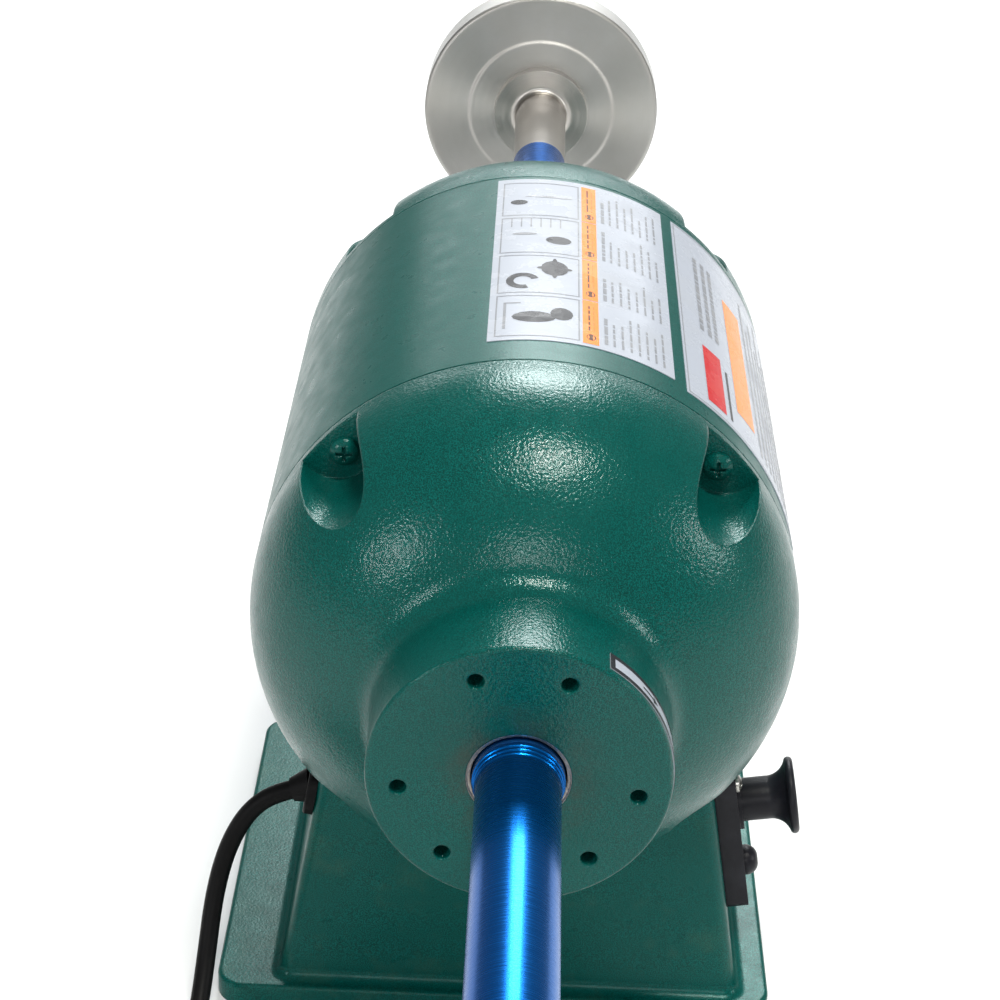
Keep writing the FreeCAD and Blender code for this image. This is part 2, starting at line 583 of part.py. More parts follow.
def make_arbor_furniture():
    start = dim.bearing_start + dim.bearing_width
    step = dim.sleeve_step
    collar_drop = (dim.sleeve_collar - dim.sleeve_radius) / 3
    sleeve = on_arbor("sleeve", [
        (start, dim.sleeve_bore), (start, dim.sleeve_collar),
        (dim.sleeve_collar_end, dim.sleeve_collar, 1, -1),
        (dim.sleeve_collar_end + collar_drop, dim.sleeve_collar - collar_drop),
        (dim.sleeve_collar_end + step, dim.sleeve_collar - collar_drop, 1, -1),
        (dim.sleeve_collar_end + step + collar_drop, dim.sleeve_collar - 2 * collar_drop),
        (dim.sleeve_collar_end + 2 * step, dim.sleeve_collar - 2 * collar_drop, 1.2, 1),
        (dim.sleeve_collar_end + 2 * step + 1, dim.sleeve_radius),
        (dim.sleeve_end, dim.sleeve_radius), (dim.sleeve_end, dim.sleeve_bore)])
    curve = dim.flange_edge
    land = dim.flange_radius - dim.flange_land
    relief = dim.wheel_start - dim.flange_relief
    inner = on_arbor("inner_flange", [
        (dim.sleeve_end, dim.sleeve_bore), (dim.sleeve_end, dim.sleeve_radius),
        (dim.hub_end - curve, dim.sleeve_radius, curve, 1), (dim.hub_end, dim.sleeve_radius + curve),
        (dim.hub_end, dim.flange_radius), (dim.wheel_start, dim.flange_radius),
        (dim.wheel_start, land), (relief, land), (relief, dim.sleeve_bore)])
    for piece, name in ((sleeve, "spacer_sleeve"), (inner, "inner_flange")):
        node(piece, "right_" + name)
        node(mirrored("left_" + name, piece), "left_" + name)
    wheel_end = dim.wheel_start + dim.wheel_width
    bevel = dim.wheel_bevel
    wheel = on_arbor("wheel", [
        (dim.wheel_start, dim.sleeve_bore), (dim.wheel_start, dim.dish_radius),
        (dim.wheel_start + dim.dish_depth, dim.dish_radius + 1),
        (dim.wheel_start + dim.dish_depth, dim.wheel_radius - bevel),
        (dim.wheel_start + dim.dish_depth + bevel, dim.wheel_radius),
        (wheel_end - dim.dish_depth - bevel, dim.wheel_radius),
        (wheel_end - dim.dish_depth, dim.wheel_radius - bevel),
        (wheel_end - dim.dish_depth, dim.dish_radius + 1),
        (wheel_end, dim.dish_radius), (wheel_end, dim.sleeve_bore)])
    node(wheel, "grinding_wheel")
    clamp_set(wheel_end, "right")
    clamp_set(dim.wheel_start, "left")


def clamp_set(start, side):
    """The outer flange and the nut that follow on one end of the arbor."""
    end = start + dim.outer_flange
    land = dim.flange_radius - dim.flange_land
    relief = start + dim.flange_relief
    flange = on_arbor(side + "_flange_turned", [
        (relief, dim.sleeve_bore), (relief, land), (start, land), (start, dim.flange_radius),
        (start + dim.flange_edge, dim.flange_radius), (end, land), (end, dim.sleeve_bore)])
    hexagon = doc.addObject("Part::Prism", side + "_hexagon")
    hexagon.Polygon = 6
    bind(hexagon, Circumradius=dim.nut_radius, Height=dim.nut_width)
    place(hexagon, (end, 0, dim.axis_height), ALONG_X)
    top = end + dim.nut_width
    bevel = on_arbor(side + "_nut_bevel", [
        (end - OVER, 0), (end - OVER, dim.nut_radius + 1), (top - 2, dim.nut_radius + 1),
        (top + OVER, dim.nut_radius - 3), (top + OVER, 0)])
    nut = cut(side + "_nut", common(side + "_nut_blank", hexagon, bevel),
              rod(side + "_nut_bore", dim.arbor_radius + 0.05, end - OVER, top + OVER))
    for piece, name in ((flange, "outer_flange"), (nut, "arbor_nut")):
        finished = piece if side == "right" else mirrored(f"left_{name}_mirror", piece)
        node(finished, f"{side}_{name}")


# ---------------------------------------------------------------- base

TILT_SIN, TILT_COS = sine(dim.wall_tilt), cosine(dim.wall_tilt)
TILT_TAN = TILT_SIN / TILT_COS


def wall_y(z, inset=0):
    """How far the base's front and back walls stand from the middle, at a height."""
    return dim.base_half_width - inset - z * TILT_TAN


def tapered_block(name, low, high, inset):
    """The pedestal's tapered block between two heights, drawn in by an inset."""
    piece = doc.addObject("Part::Wedge", name)
    lean = (dim.base_half_length - dim.top_half_length) / dim.base_height
    ends = [(dim.base_half_length - inset - z * lean, wall_y(z, inset)) for z in (low, high)]
    (x_low, y_low), (x_high, y_high) = ends
    bind(piece, Ymin=low, Ymax=high, Xmin=-x_low, Xmax=x_low, Zmin=-y_low, Zmax=y_low,
         X2min=-x_high, X2max=x_high, Z2min=-y_high, Z2max=y_high)
    return place(piece, (0, 0, 0), Rotation(Vector(1, 0, 0), 90))


def four_corners(x, y):
    return [(along * x, across * y) for along in (-1, 1) for across in (-1, 1)]


def make_base():
    block = rounded("pedestal", tapered_block("pedestal_block", 0, dim.base_height, 0),
                    dim.base_corner, is_upright)
    slab = rounded("foot_corners",
                   box("foot_block", (-dim.foot_length / 2, -dim.foot_front, 0),
                       (dim.foot_length / 2, dim.foot_back, dim.foot_height)),
                   dim.foot_corner, is_upright)
    foot = rounded("foot", slab, dim.foot_edge,
                   lambda edge: edge.BoundBox.ZMin > dim.foot_height.value - 0.01)
    outside = join("base_outside", foot, block)
    height = dim.foot_height.value

    def at_the_root(edge):
        inside = (abs(edge.CenterOfMass.x) < dim.base_half_length.value
                  and abs(edge.CenterOfMass.y) < dim.base_half_width.value)
        return inside and abs(edge.BoundBox.ZMin - height) < 0.01 and abs(edge.BoundBox.ZMax - height) < 0.01

    flared = rounded("base_flared", outside, dim.foot_fillet, at_the_root)
    below = dim.deck_base - OVER
    through = dim.pad_base + OVER - below
    bay = box("switch_bay", (-dim.base_half_length, -dim.base_half_width, below),
              (dim.bay_end_x, dim.bay_end_y, dim.pad_base + OVER))
    bolt_ways = [cylinder(f"deck_hole_{i}", dim.motor_bolt_radius + 0.5, through, (x, y, below))
                 for i, (x, y) in enumerate(four_corners(dim.motor_bolt_x, dim.motor_bolt_y))]
    deck = cut("deck", box("deck_block", (-dim.base_half_length, -dim.base_half_width, dim.deck_base),
                           (dim.base_half_length, dim.base_half_width, dim.pad_base)),
               bay, cylinder("deck_lead_way", dim.lead_hole, through, (0, 0, below)), *bolt_ways)
    hollow = cut("base_hollow",
                 tapered_block("hollow_block", as_size(-OVER), dim.base_height + OVER, dim.base_wall), deck)
    saddle = rod("saddle", dim.barrel_radius + dim.saddle_gap, -dim.foot_length, dim.foot_length)
    shell = cut("base_shell", flared, hollow, saddle)
    posts = [cylinder(f"bench_post_{i}", dim.bench_post, dim.bench_post_height, (x, y, 0))
             for i, (x, y) in enumerate(four_corners(dim.bench_bolt_x, dim.bench_bolt_y))]
    cover_top = dim.cover_base + dim.cover_thickness
    holes = [cylinder(f"bench_hole_{i}", dim.bench_bolt_hole, dim.bench_bolt_depth + OVER, (x, y, -OVER))
             for i, (x, y) in enumerate(four_corners(dim.bench_bolt_x, dim.bench_bolt_y))]
    for i, (x, y) in enumerate(cover_points()):
        posts.append(cylinder(f"cover_post_{i}", dim.cover_post, dim.cover_post_height, (x, y, cover_top)))
        holes.append(cylinder(f"cover_hole_{i}", dim.cover_screw_radius, dim.cover_screw_length + 2,
                              (x, y, cover_top - OVER)))
    way = box("switch_way", (-dim.opening_half_width, -dim.opening_down, -dim.opening_depth),
              (dim.opening_half_width, dim.opening_up, OVER))
    holes.append(place_on_wall(group("switch_opening", [way])))
    way = cylinder("relief_way", dim.relief_body, dim.relief_depth + 2, (0, 0, 0))
    holes.append(place_at_relief(way, -dim.relief_depth))
    node(cut("base", join("base_body", shell, *posts), *holes), "base_casting")


def cover_points():
    return [(-dim.cover_post_x, 0), (dim.cover_post_x, 0), (0, -dim.cover_post_y), (0, dim.cover_post_y)]


FRONT_OUT = Vector(0, -TILT_COS.value, TILT_SIN.value)
BACK_OUT = Vector(0, TILT_COS.value, TILT_SIN.value)
FRONT_FRAME = Rotation(Vector(1, 0, 0), 90 - dim.wall_tilt.value)


def place_on_wall(piece):
    """Put a piece drawn about the knob's axis (Z out of the wall, Y up it) on the front wall."""
    return place(piece, (dim.switch_x, -wall_y(dim.switch_z), dim.switch_z), FRONT_FRAME)


def place_at_relief(piece, out):
    """Put a piece drawn along Z on the back wall, where the cord leaves."""
    return place(piece, relief_spot(out), Rotation(Vector(0, 0, 1), BACK_OUT))


def relief_spot(out):
    """A point on the cord's way out of the back wall."""
    return dim.relief_x, wall_y(dim.relief_z) + out * TILT_COS, dim.relief_z + out * TILT_SIN


def make_cover():
    top = dim.cover_base + dim.cover_thickness
    plate = box("cover_plate", (-dim.cover_half_length, -dim.cover_half_width, dim.cover_base),
                (dim.cover_half_length, dim.cover_half_width, top))
    room = dim.bench_post + 0.4
    corner_x, corner_y = dim.bench_bolt_x - room, dim.bench_bolt_y - room
    far_x, far_y = dim.base_half_length, dim.base_half_width
    holes = []
    for i, (x, y) in enumerate(four_corners(1, 1)):
        low = (corner_x if x > 0 else -far_x, corner_y if y > 0 else -far_y, 0)
        high = (far_x if x > 0 else -corner_x, far_y if y > 0 else -corner_y, top + OVER)
        holes.append(box(f"cover_notch_{i}", low, high))
    for i, (x, y) in enumerate(cover_points()):
        holes.append(cylinder(f"cover_screw_way_{i}", dim.cover_screw_radius + 0.2, top + OVER, (x, y, 0)))
    node(cut("cover", plate, *holes), "bottom_cover")
    screws = []
    for i, (x, y) in enumerate(cover_points()):
        head = cylinder(f"cover_head_{i}", dim.cover_head_radius, dim.cover_head_height,
                        (x, y, dim.cover_base - dim.cover_head_height))
        shank = cylinder(f"cover_shank_{i}", dim.cover_screw_radius, dim.cover_screw_length + OVER,
                         (x, y, dim.cover_base - OVER))
        screws.append(join(f"cover_screw_{i}", head, shank))
    node(group("cover_screws", screws), "bottom_cover_screws")
    bolts = []
    for i, (x, y) in enumerate(four_corners(dim.motor_bolt_x, dim.motor_bolt_y)):
        head = doc.addObject("Part::Prism", f"motor_bolt_head_{i}")
        head.Polygon = 6
        bind(head, Circumradius=dim.bolt_head_radius, Height=dim.bolt_head_height)
        place(head, (x, y, dim.deck_base - dim.bolt_head_height))
        shank = cylinder(f"motor_bolt_shank_{i}", dim.motor_bolt_radius,
                         dim.motor_bolt_reach - dim.deck_base + OVER, (x, y, dim.deck_base - OVER))
        bolts.append(join(f"motor_bolt_{i}", head, shank))
    node(group("motor_bolt_set", bolts), "motor_bolts")


def make_capacitor():
    end = dim.capacitor_start + dim.capacitor_length
    can = rod("capacitor_can", dim.capacitor_radius, dim.capacitor_start, end,
              dim.capacitor_y, dim.capacitor_z)
    tabs = []
    for side in (-1, 1):
        middle = dim.capacitor_y + side * dim.tab_pitch / 2
        low = (end - OVER, middle - dim.tab_width / 2, dim.capacitor_z - dim.tab_thickness / 2)
        high = (end + dim.tab_length, middle + dim.tab_width / 2, dim.capacitor_z + dim.tab_thickness / 2)
        tabs.append(box(f"capacitor_tab_{side}", low, high))
    node(join("capacitor_body", can, *tabs), "capacitor")


def make_clamp():
    """The strap that holds the capacitor under the deck. Returns where its screws go."""
    outer = dim.capacitor_radius + dim.clamp_wall
    start, stop = dim.clamp_start, dim.clamp_start + dim.clamp_width
    reach = outer + dim.clamp_ear
    legs = box("clamp_legs", (start, dim.capacitor_y - outer, dim.capacitor_z),
               (stop, dim.capacitor_y + outer, dim.deck_base))
    ears = box("clamp_ears", (start, dim.capacitor_y - reach, dim.deck_base - dim.clamp_wall),
               (stop, dim.capacitor_y + reach, dim.deck_base))
    band = rod("clamp_band", outer, start, stop, dim.capacitor_y, dim.capacitor_z)
    room = box("clamp_room", (start - OVER, dim.capacitor_y - dim.capacitor_radius, dim.capacitor_z),
               (stop + OVER, dim.capacitor_y + dim.capacitor_radius, dim.deck_base + OVER))
    bore = rod("clamp_bore", dim.capacitor_radius, start - OVER, stop + OVER,
               dim.capacitor_y, dim.capacitor_z)
    middle = (start + stop) / 2
    spots = [(middle, dim.capacitor_y + side * (reach - dim.clamp_ear / 2)) for side in (-1, 1)]
    ways = [cylinder(f"clamp_way_{i}", dim.deck_screw_radius + 0.3, 2 * dim.clamp_wall,
                     (x, y, dim.deck_base - 1.5 * dim.clamp_wall)) for i, (x, y) in enumerate(spots)]
    node(cut("clamp", join("clamp_solid", legs, ears, band), room, bore, *ways), "capacitor_clamp")
    return spots


def make_terminals():
    """The terminal block under the deck. Returns where its screws go."""
    end = dim.terminal_start + dim.terminal_length
    floor = dim.deck_base - dim.terminal_height
    block = box("terminal_body", (dim.terminal_start, dim.terminal_front, floor),
                (end, dim.terminal_front + dim.terminal_depth, dim.deck_base))
    first = dim.terminal_start + 2 * dim.terminal_inset
    row_y = dim.terminal_front + dim.terminal_depth - 2 * dim.terminal_hole
    holes = [cylinder(f"terminal_well_{i}", dim.terminal_hole, 5,
                      (first + dim.terminal_pitch * i, row_y, floor - OVER)) for i in range(4)]
    spots = [(dim.terminal_start + dim.terminal_inset, dim.terminal_front + dim.terminal_foot),
             (end - dim.terminal_inset, dim.terminal_front + dim.terminal_foot)]
    holes += [cylinder(f"terminal_way_{i}", dim.deck_screw_radius, dim.terminal_height + 2 * OVER,
                       (x, y, floor - OVER)) for i, (x, y) in enumerate(spots)]
    node(cut("terminals", block, *holes), "terminal_block")
    return spots


def make_electrics():
    make_capacitor()
    screws = [screw_up(f"clamp_screw_{i}", x, y, dim.deck_base - dim.clamp_wall)
              for i, (x, y) in enumerate(make_clamp())]
    screws += [screw_up(f"terminal_screw_{i}", x, y, dim.deck_base - dim.terminal_height)
               for i, (x, y) in enumerate(make_terminals())]
    node(group("deck_screw_set", screws), "deck_screws")


def screw_up(name, x, y, seat):
    """A screw driven up to the underside of the deck from its seat."""
    head = cylinder(name + "_head", dim.deck_head_radius, dim.deck_head_height,
                    (x, y, seat - dim.deck_head_height))
    shank = cylinder(name + "_shank", dim.deck_screw_radius, dim.deck_base - seat + OVER, (x, y, seat - OVER))
    return join(name, head, shank)


# ---------------------------------------------------------------- switch

def make_switch():
    half = dim.plate_width / 2
    block = rounded("plate_block",
                    box("plate_box", (-half, -dim.plate_down, 0), (half, dim.plate_up, dim.plate_depth)),
                    dim.plate_corner, is_upright)
    ring = cylinder("knob_bezel", dim.knob_hole + dim.bezel_wall, dim.plate_depth + dim.bezel_lift, (0, 0, 0))
    inset = dim.plate_screw_inset
    screw_spots = [(inset - half, dim.plate_up - inset), (half - inset, inset - dim.plate_down)]
    through = dim.plate_depth + 4 * OVER
    ways = [cylinder("knob_way", dim.knob_hole, through, (0, 0, -OVER)),
            cylinder("reset_way", dim.reset_hole, through, (0, -dim.reset_drop, -OVER))]
    ways += [cylinder(f"plate_screw_way_{i}", dim.plate_screw_radius + 0.1, through, (x, y, -OVER))
             for i, (x, y) in enumerate(screw_spots)]
    plate = cut("plate", join("plate_solid", block, ring), *ways)
    node(place_on_wall(plate), "switch_plate")
    screws = []
    for i, (x, y) in enumerate(screw_spots):
        head = turned(f"plate_screw_head_{i}", pan_head(dim.plate_screw_head, dim.plate_screw_head_height),
                      (x, y, dim.plate_depth), Rotation(Vector(1, 0, 0), Vector(0, 0, 1)))
        shank = cylinder(f"plate_screw_shank_{i}", dim.plate_screw_radius, dim.plate_depth + OVER / 2,
                         (x, y, 0))
        reach, half_slot = dim.plate_screw_head, 0.4
        slot = box(f"plate_screw_slot_{i}", (x - reach, y - half_slot, dim.plate_depth + OVER),
                   (x + reach, y + half_slot, dim.plate_depth + 3 * OVER))
        screws.append(cut(f"plate_screw_{i}", join(f"plate_screw_solid_{i}", head, shank), slot))
    node(place_on_wall(group("plate_screws", screws)), "switch_screws")
    block = box("switch_block", (-dim.switch_half_width, -dim.switch_down, -dim.switch_depth),
                (dim.switch_half_width, dim.switch_up, 0))
    body = cut("switch_box", block,
               cylinder("switch_well", dim.knob_hole, dim.well_depth, (0, 0, -dim.well_depth)),
               cylinder("plunger_way", dim.knob_plunger + 0.4, dim.switch_depth - 8,
                        (0, 0, 2 - dim.switch_depth)))
    node(place_on_wall(body), "switch_body")
    drop, half = dim.reset_drop, dim.breaker_half
    breaker = cut("breaker_box",
                  box("breaker_block", (-half, -drop - half, -dim.breaker_depth), (half, half - drop, 0)),
                  cylinder("breaker_well", dim.reset_hole, half, (0, -drop, -half)))
    node(place_on_wall(breaker), "overload_breaker")
    outwards = Rotation(Vector(1, 0, 0), FRONT_OUT)
    node(turned("knob", knob_outline(), wall_spot(as_size(0), -dim.knob_inset), outwards), "switch_knob")
    node(turned("reset", reset_outline(), wall_spot(-drop, -dim.reset_inset), outwards), "reset_button")


def wall_spot(up, out):
    """A point near the front wall, up the wall from the knob's axis and out of it."""
    y = -(wall_y(dim.switch_z) + out * TILT_COS) + up * TILT_SIN
    return dim.switch_x, y, dim.switch_z + up * TILT_COS + out * TILT_SIN


def knob_outline():
    """Plunger, round stem, flared mushroom flange and its dished face, from the inner end."""
    plunger, stem_start = dim.knob_plunger, dim.knob_plunger_end
    flare_y, rim_y = dim.knob_flange - 0.6, dim.knob_flange - 1.1
    dish_radius = (rim_y * rim_y + dim.knob_dish * dim.knob_dish) / (2 * dim.knob_dish)
    return [
        (0, 0), (0, plunger), (stem_start, plunger), (stem_start, dim.knob_stem),
        (dim.knob_stem_end, dim.knob_stem, 7, 1), (dim.knob_flare_end, flare_y, 1.6, -1),
        (dim.knob_rim_end, rim_y, dish_radius, 1), (dim.knob_rim_end - dim.knob_dish, 0)]


def reset_outline():
    """A short button with a domed tip, from the inner end."""
    side, top = dim.reset_shoulder, dim.reset_length
    return [(0, 0), (0, dim.reset_radius), (side, dim.reset_radius, 4.4, -1), (top, 1.6), (top, 0)]


# ---------------------------------------------------------------- cord

CORD_ROUTE = [
    (-66.2, 85.4, 81.1), (-66.8, 92.0, 76.7), (-68, 98.1, 68.9), (-71, 103.5, 57), (-77, 107, 42.3),
    (-87, 108.4, 27.5), (-100.5, 109.3, 15.5), (-117, 110.6, 7.2), (-136, 112.6, 4.2), (-155, 115.3, 4.4),
]


def tube(name, points, radius):
    """A round cord along straight runs joined by tangent arcs. Returns it and its smallest radius."""
    points = [Vector(*point) for point in points]
    edges = []
    last = points[0]
    radii = []
    for before, corner, after in zip(points, points[1:], points[2:]):
        into = (corner - before).normalize()
        away = (after - corner).normalize()
        half_turn = into.getAngle(away) / 2
        back = 0.45 * min((corner - before).Length, (after - corner).Length)
        bend = back / math.tan(half_turn)
        start, end = corner - into * back, corner + away * back
        middle = corner + (away - into).normalize() * (bend / math.cos(half_turn) - bend)
        edges += [Part.LineSegment(last, start).toShape(), Part.Arc(start, middle, end).toShape()]
        last = end
        radii.append(bend)
    edges.append(Part.LineSegment(last, points[-1]).toShape())
    path = Part.Wire(edges)
    length = path.Length
    ring = Part.Wire(Part.Circle(points[0], points[1] - points[0], radius).toShape())
    solid = path.makePipeShell([ring], True, False)
    if solid.Volume < 0:
        solid.reverse()
    expected = math.pi * radius ** 2 * length
    print(f"{name}: length {length:.1f}, volume {solid.Volume:.0f} of {expected:.0f},"
          f" radii {[round(bend, 1) for bend in radii]}")
    piece = doc.addObject("Part::Feature", name)
    piece.Shape = solid
    return piece


def make_relief():
    """The strain relief: a bush in the wall, its flange, and a boot that points a little down.
    Returns the point where the cord leaves the boot."""
    body = place_at_relief(cylinder("relief_bush", dim.relief_body, dim.relief_depth, (0, 0, 0)),
                           -dim.relief_depth)
    blank = cylinder("relief_blank", dim.relief_flange, dim.relief_flange_width, (0, 0, 0))
    flange = rounded("relief_disc", place_at_relief(blank, 0), as_size(1),
                     lambda edge: edge.CenterOfMass.y > wall_y(dim.relief_z).value + 3)
    lock_bar = box("relief_lock", (-dim.relief_lock, -dim.relief_flange, 0),
                   (dim.relief_lock, dim.relief_flange, dim.relief_lock_width))
    lock = place_at_relief(group("relief_lock_bar", [lock_bar]), -dim.relief_lock_depth)
    droop = math.radians(dim.boot_droop.value)
    heading = Vector(0, math.cos(droop), -math.sin(droop))
    boot = doc.addObject("Part::Cone", "relief_boot")
    bind(boot, Radius1=dim.boot_radius, Radius2=dim.cord_diameter / 2 + dim.boot_wall, Height=dim.boot_length)
    root = relief_spot(dim.boot_lift)
    place(boot, root, Rotation(Vector(0, 0, 1), heading))
    node(join("relief", body, flange, lock, boot), "strain_relief")
    return Vector(*[part.value for part in root]) + heading * dim.boot_length.value


def loop_point(angle, radius, z):
    """A point over the coil, at an angle from +X and a radius from the coil's middle."""
    swing = math.radians(angle)
    return (dim.loop_x.value + radius * math.cos(swing), dim.loop_y.value + radius * math.sin(swing), z)


def make_cord():
    radius = dim.cord_diameter.value / 2
    exit_point = make_relief()
    inset = radius + dim.loop_skin.value
    low = dim.loop_lift.value + inset
    top = dim.loop_lift.value + dim.loop_height.value - inset
    outermost = dim.loop_radius.value + dim.loop_half_width.value - inset
    entry = (dim.loop_x.value + 16, dim.loop_y.value - outermost - 0.6, low)
    lead = tube("cord_lead", [tuple(exit_point), *CORD_ROUTE, entry], radius)
    print("cord leaves at", [round(part, 2) for part in exit_point], "and reaches the coil at", entry)
    tail_points = [
        loop_point(180, outermost, top), loop_point(158, outermost + 1.2, top - 0.9),
        loop_point(138, outermost + 5, top - 4.2), loop_point(118, outermost + 10.5, radius + 2.2),
        loop_point(99, outermost + 15, radius + 2.6), loop_point(83, outermost + 18.5, radius + 5.4)]
    tail = tube("cord_end", tail_points, radius)
    start = dim.loop_radius - dim.loop_half_width
    stop = dim.loop_radius + dim.loop_half_width
    floor = dim.loop_lift
    roof = dim.loop_lift + dim.loop_height
    edge = dim.loop_edge
    ring = turned("loop_ring", [
        (floor, start + edge, edge, 1), (floor + edge, start), (roof - edge, start, edge, 1),
        (roof, start + edge), (roof, stop - edge, edge, 1), (roof - edge, stop),
        (floor + edge, stop, edge, 1), (floor, stop - edge)],
        (dim.loop_x, dim.loop_y, 0), Rotation(Vector(1, 0, 0), Vector(0, 0, 1)))
    node(lead, "power_cord")
    node(tail, "cord_tail")
    node(cut("loop_solid", ring, lead, tail), "cord_coil")
    make_tie()
    make_plug(tail, tail_points)


def make_tie():
    """A hook-and-loop band round the coiled turns."""
    reach = dim.loop_half_width
    wall = dim.tie_wall
    top = dim.loop_lift + dim.loop_height
    middle = dim.loop_x + dim.loop_radius
    outer, inner = reach + wall, reach + dim.tie_bulge
    outside = box("tie_outside", (middle - outer, dim.loop_y - dim.tie_width / 2, 0),
                  (middle + outer, dim.loop_y + dim.tie_width / 2, top + wall))
    inside = box("tie_inside", (middle - inner, dim.loop_y - dim.tie_width, dim.loop_lift),
                 (middle + inner, dim.loop_y + dim.tie_width, top))
    node(cut("tie", outside, inside), "cord_tie")


def make_plug(tail, tail_points):
    """A moulded three-pin plug lying on the bench at the cord's end."""
    end = Vector(*tail_points[-1])
    along = end - Vector(*tail_points[-2])
    along.z = 0
    along.normalize()
    heading = Rotation(Vector(1, 0, 0), along)
    neck = turned("plug_neck", [(0, 0), (0, dim.plug_neck_start), (dim.plug_neck_length, dim.plug_neck_end),
                                (dim.plug_neck_length, 0)], (end.x, end.y, end.z), heading)
    block = doc.addObject("Part::Box", "plug_block")
    bind(block, Length=dim.plug_length, Width=dim.plug_width, Height=dim.plug_height)
    side = Vector(-along.y, along.x, 0)
    back = dim.plug_neck_length.value - OVER
    corner = end + along * back - side * (dim.plug_width.value / 2)
    place(block, (corner.x, corner.y, dim.plug_lift), heading)
    reach = back + dim.plug_length.value
    body = rounded("plug_rounded", block, dim.plug_edge,
                   lambda edge: edge.CenterOfMass.sub(end).dot(along) < reach - OVER)
    node(cut("plug_moulding", join("plug_solid", neck, body), tail), "plug_body")
    face = end + along * reach
    blades = []
    for name, across in (("line", -dim.contact_pitch / 2), ("neutral", dim.contact_pitch / 2)):
        blade = doc.addObject("Part::Box", f"plug_{name}_blade")
        bind(blade, Length=dim.contact_length, Width=dim.contact_thickness, Height=dim.contact_width)
        spot = face + side * (across - dim.contact_thickness / 2).value
        blades.append(place(blade, (spot.x, spot.y, dim.contact_base), heading))
    pin = cylinder("plug_earth_pin", dim.earth_radius, dim.earth_length, (face.x, face.y, dim.earth_height),
                   Rotation(Vector(0, 0, 1), along))
    node(group("plug_pins", [*blades, pin]), "plug_blades")


# ---------------------------------------------------------------- labels

def curved_label(name, radius, start, end, first_angle, last_angle):
    """A thin label wrapped round the arbor's axis; angles run from the top towards -Y."""
    blank = doc.addObject("Part::Cylinder", name + "_blank")
    bind(blank, Radius=radius + dim.label_thickness, Height=end - start, Angle=last_angle - first_angle)
    # the sector opens from the cylinder's own X axis, which ALONG_X turns to point straight down
    turn = Rotation(Vector(1, 0, 0), 180 + first_angle).multiply(ALONG_X)
    place(blank, (start, 0, dim.axis_height), turn)
    node(cut(name + "_sheet", blank, rod(name + "_core", radius, start - OVER, end + OVER)), name)


def make_labels():
    first = -half_barrel + dim.label_start
    last = half_barrel - dim.label_margin
    curved_label("instruction_label", dim.barrel_radius, first, last, -10, 30)
    curved_label("rating_plate", dim.barrel_radius, first - dim.label_margin, last, 33, 78)
    start = dim.arc_label_start - half_barrel - dim.boss_reach
    curved_label("rotation_label", dim.boss_radius, start, start + dim.arc_label_width, 33, 100)


def main():
    make_housing()
    make_bells()
    make_bell_screws()
    make_stator()
    make_rotor()
    make_arbor()
    make_bearings()
    make_arbor_furniture()
    make_base()
    make_cover()
    make_electrics()
    make_switch()
    make_cord()
    make_labels()
    doc.recompute()
    broken = [piece.Name for piece in doc.Objects if {"Invalid", "Error"} & set(piece.State)]
    broken += [piece.Label for piece in nodes if piece.Shape.isNull() or not piece.Shape.isValid()]
    if broken:
        raise RuntimeError(f"these pieces failed: {broken}")
    os.makedirs("parts", exist_ok=True)
    for piece in nodes:
        piece.Shape.exportStep(f"parts/{piece.Label}.step")
        print(f"{piece.Label}: {len(piece.Shape.Solids)} solids, {piece.Shape.Volume:.0f} mm3")


main()
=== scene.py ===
import math
import random

import bpy
from mathutils import Matrix, Vector


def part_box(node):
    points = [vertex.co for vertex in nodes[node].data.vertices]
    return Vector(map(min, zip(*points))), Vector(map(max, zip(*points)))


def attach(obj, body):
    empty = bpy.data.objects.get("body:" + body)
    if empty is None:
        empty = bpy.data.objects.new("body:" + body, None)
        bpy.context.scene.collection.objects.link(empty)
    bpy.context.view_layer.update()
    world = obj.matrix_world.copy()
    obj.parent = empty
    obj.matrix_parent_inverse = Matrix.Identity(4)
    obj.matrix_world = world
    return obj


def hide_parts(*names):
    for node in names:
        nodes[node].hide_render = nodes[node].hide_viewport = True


# The looks of a long-arbor bench grinder: camera, cord, printed labels, threads, materials, floor
# and light. Metres, in the CAD's frame: +Z up, X along the arbor, -Y the operator's side.

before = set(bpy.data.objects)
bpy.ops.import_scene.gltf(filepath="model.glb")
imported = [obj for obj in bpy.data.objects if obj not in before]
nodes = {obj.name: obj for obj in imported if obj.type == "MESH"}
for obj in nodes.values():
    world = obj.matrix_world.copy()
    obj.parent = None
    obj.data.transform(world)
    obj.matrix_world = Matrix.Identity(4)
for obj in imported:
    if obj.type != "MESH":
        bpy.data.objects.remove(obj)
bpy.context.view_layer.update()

MM = 0.001
AXIS_HEIGHT = 172 * MM
FREE_CORD = ("power_cord", "cord_tail", "cord_coil")


# ---------------------------------------------------------------- camera

CAMERA_PLACE = (-729.8 * MM, 3.8 * MM, 571.5 * MM)
CAMERA_YAW, CAMERA_PITCH, CAMERA_ROLL = 0.0086, 0.5056, 0.0372
LENS, SENSOR = 82.8, 36.0


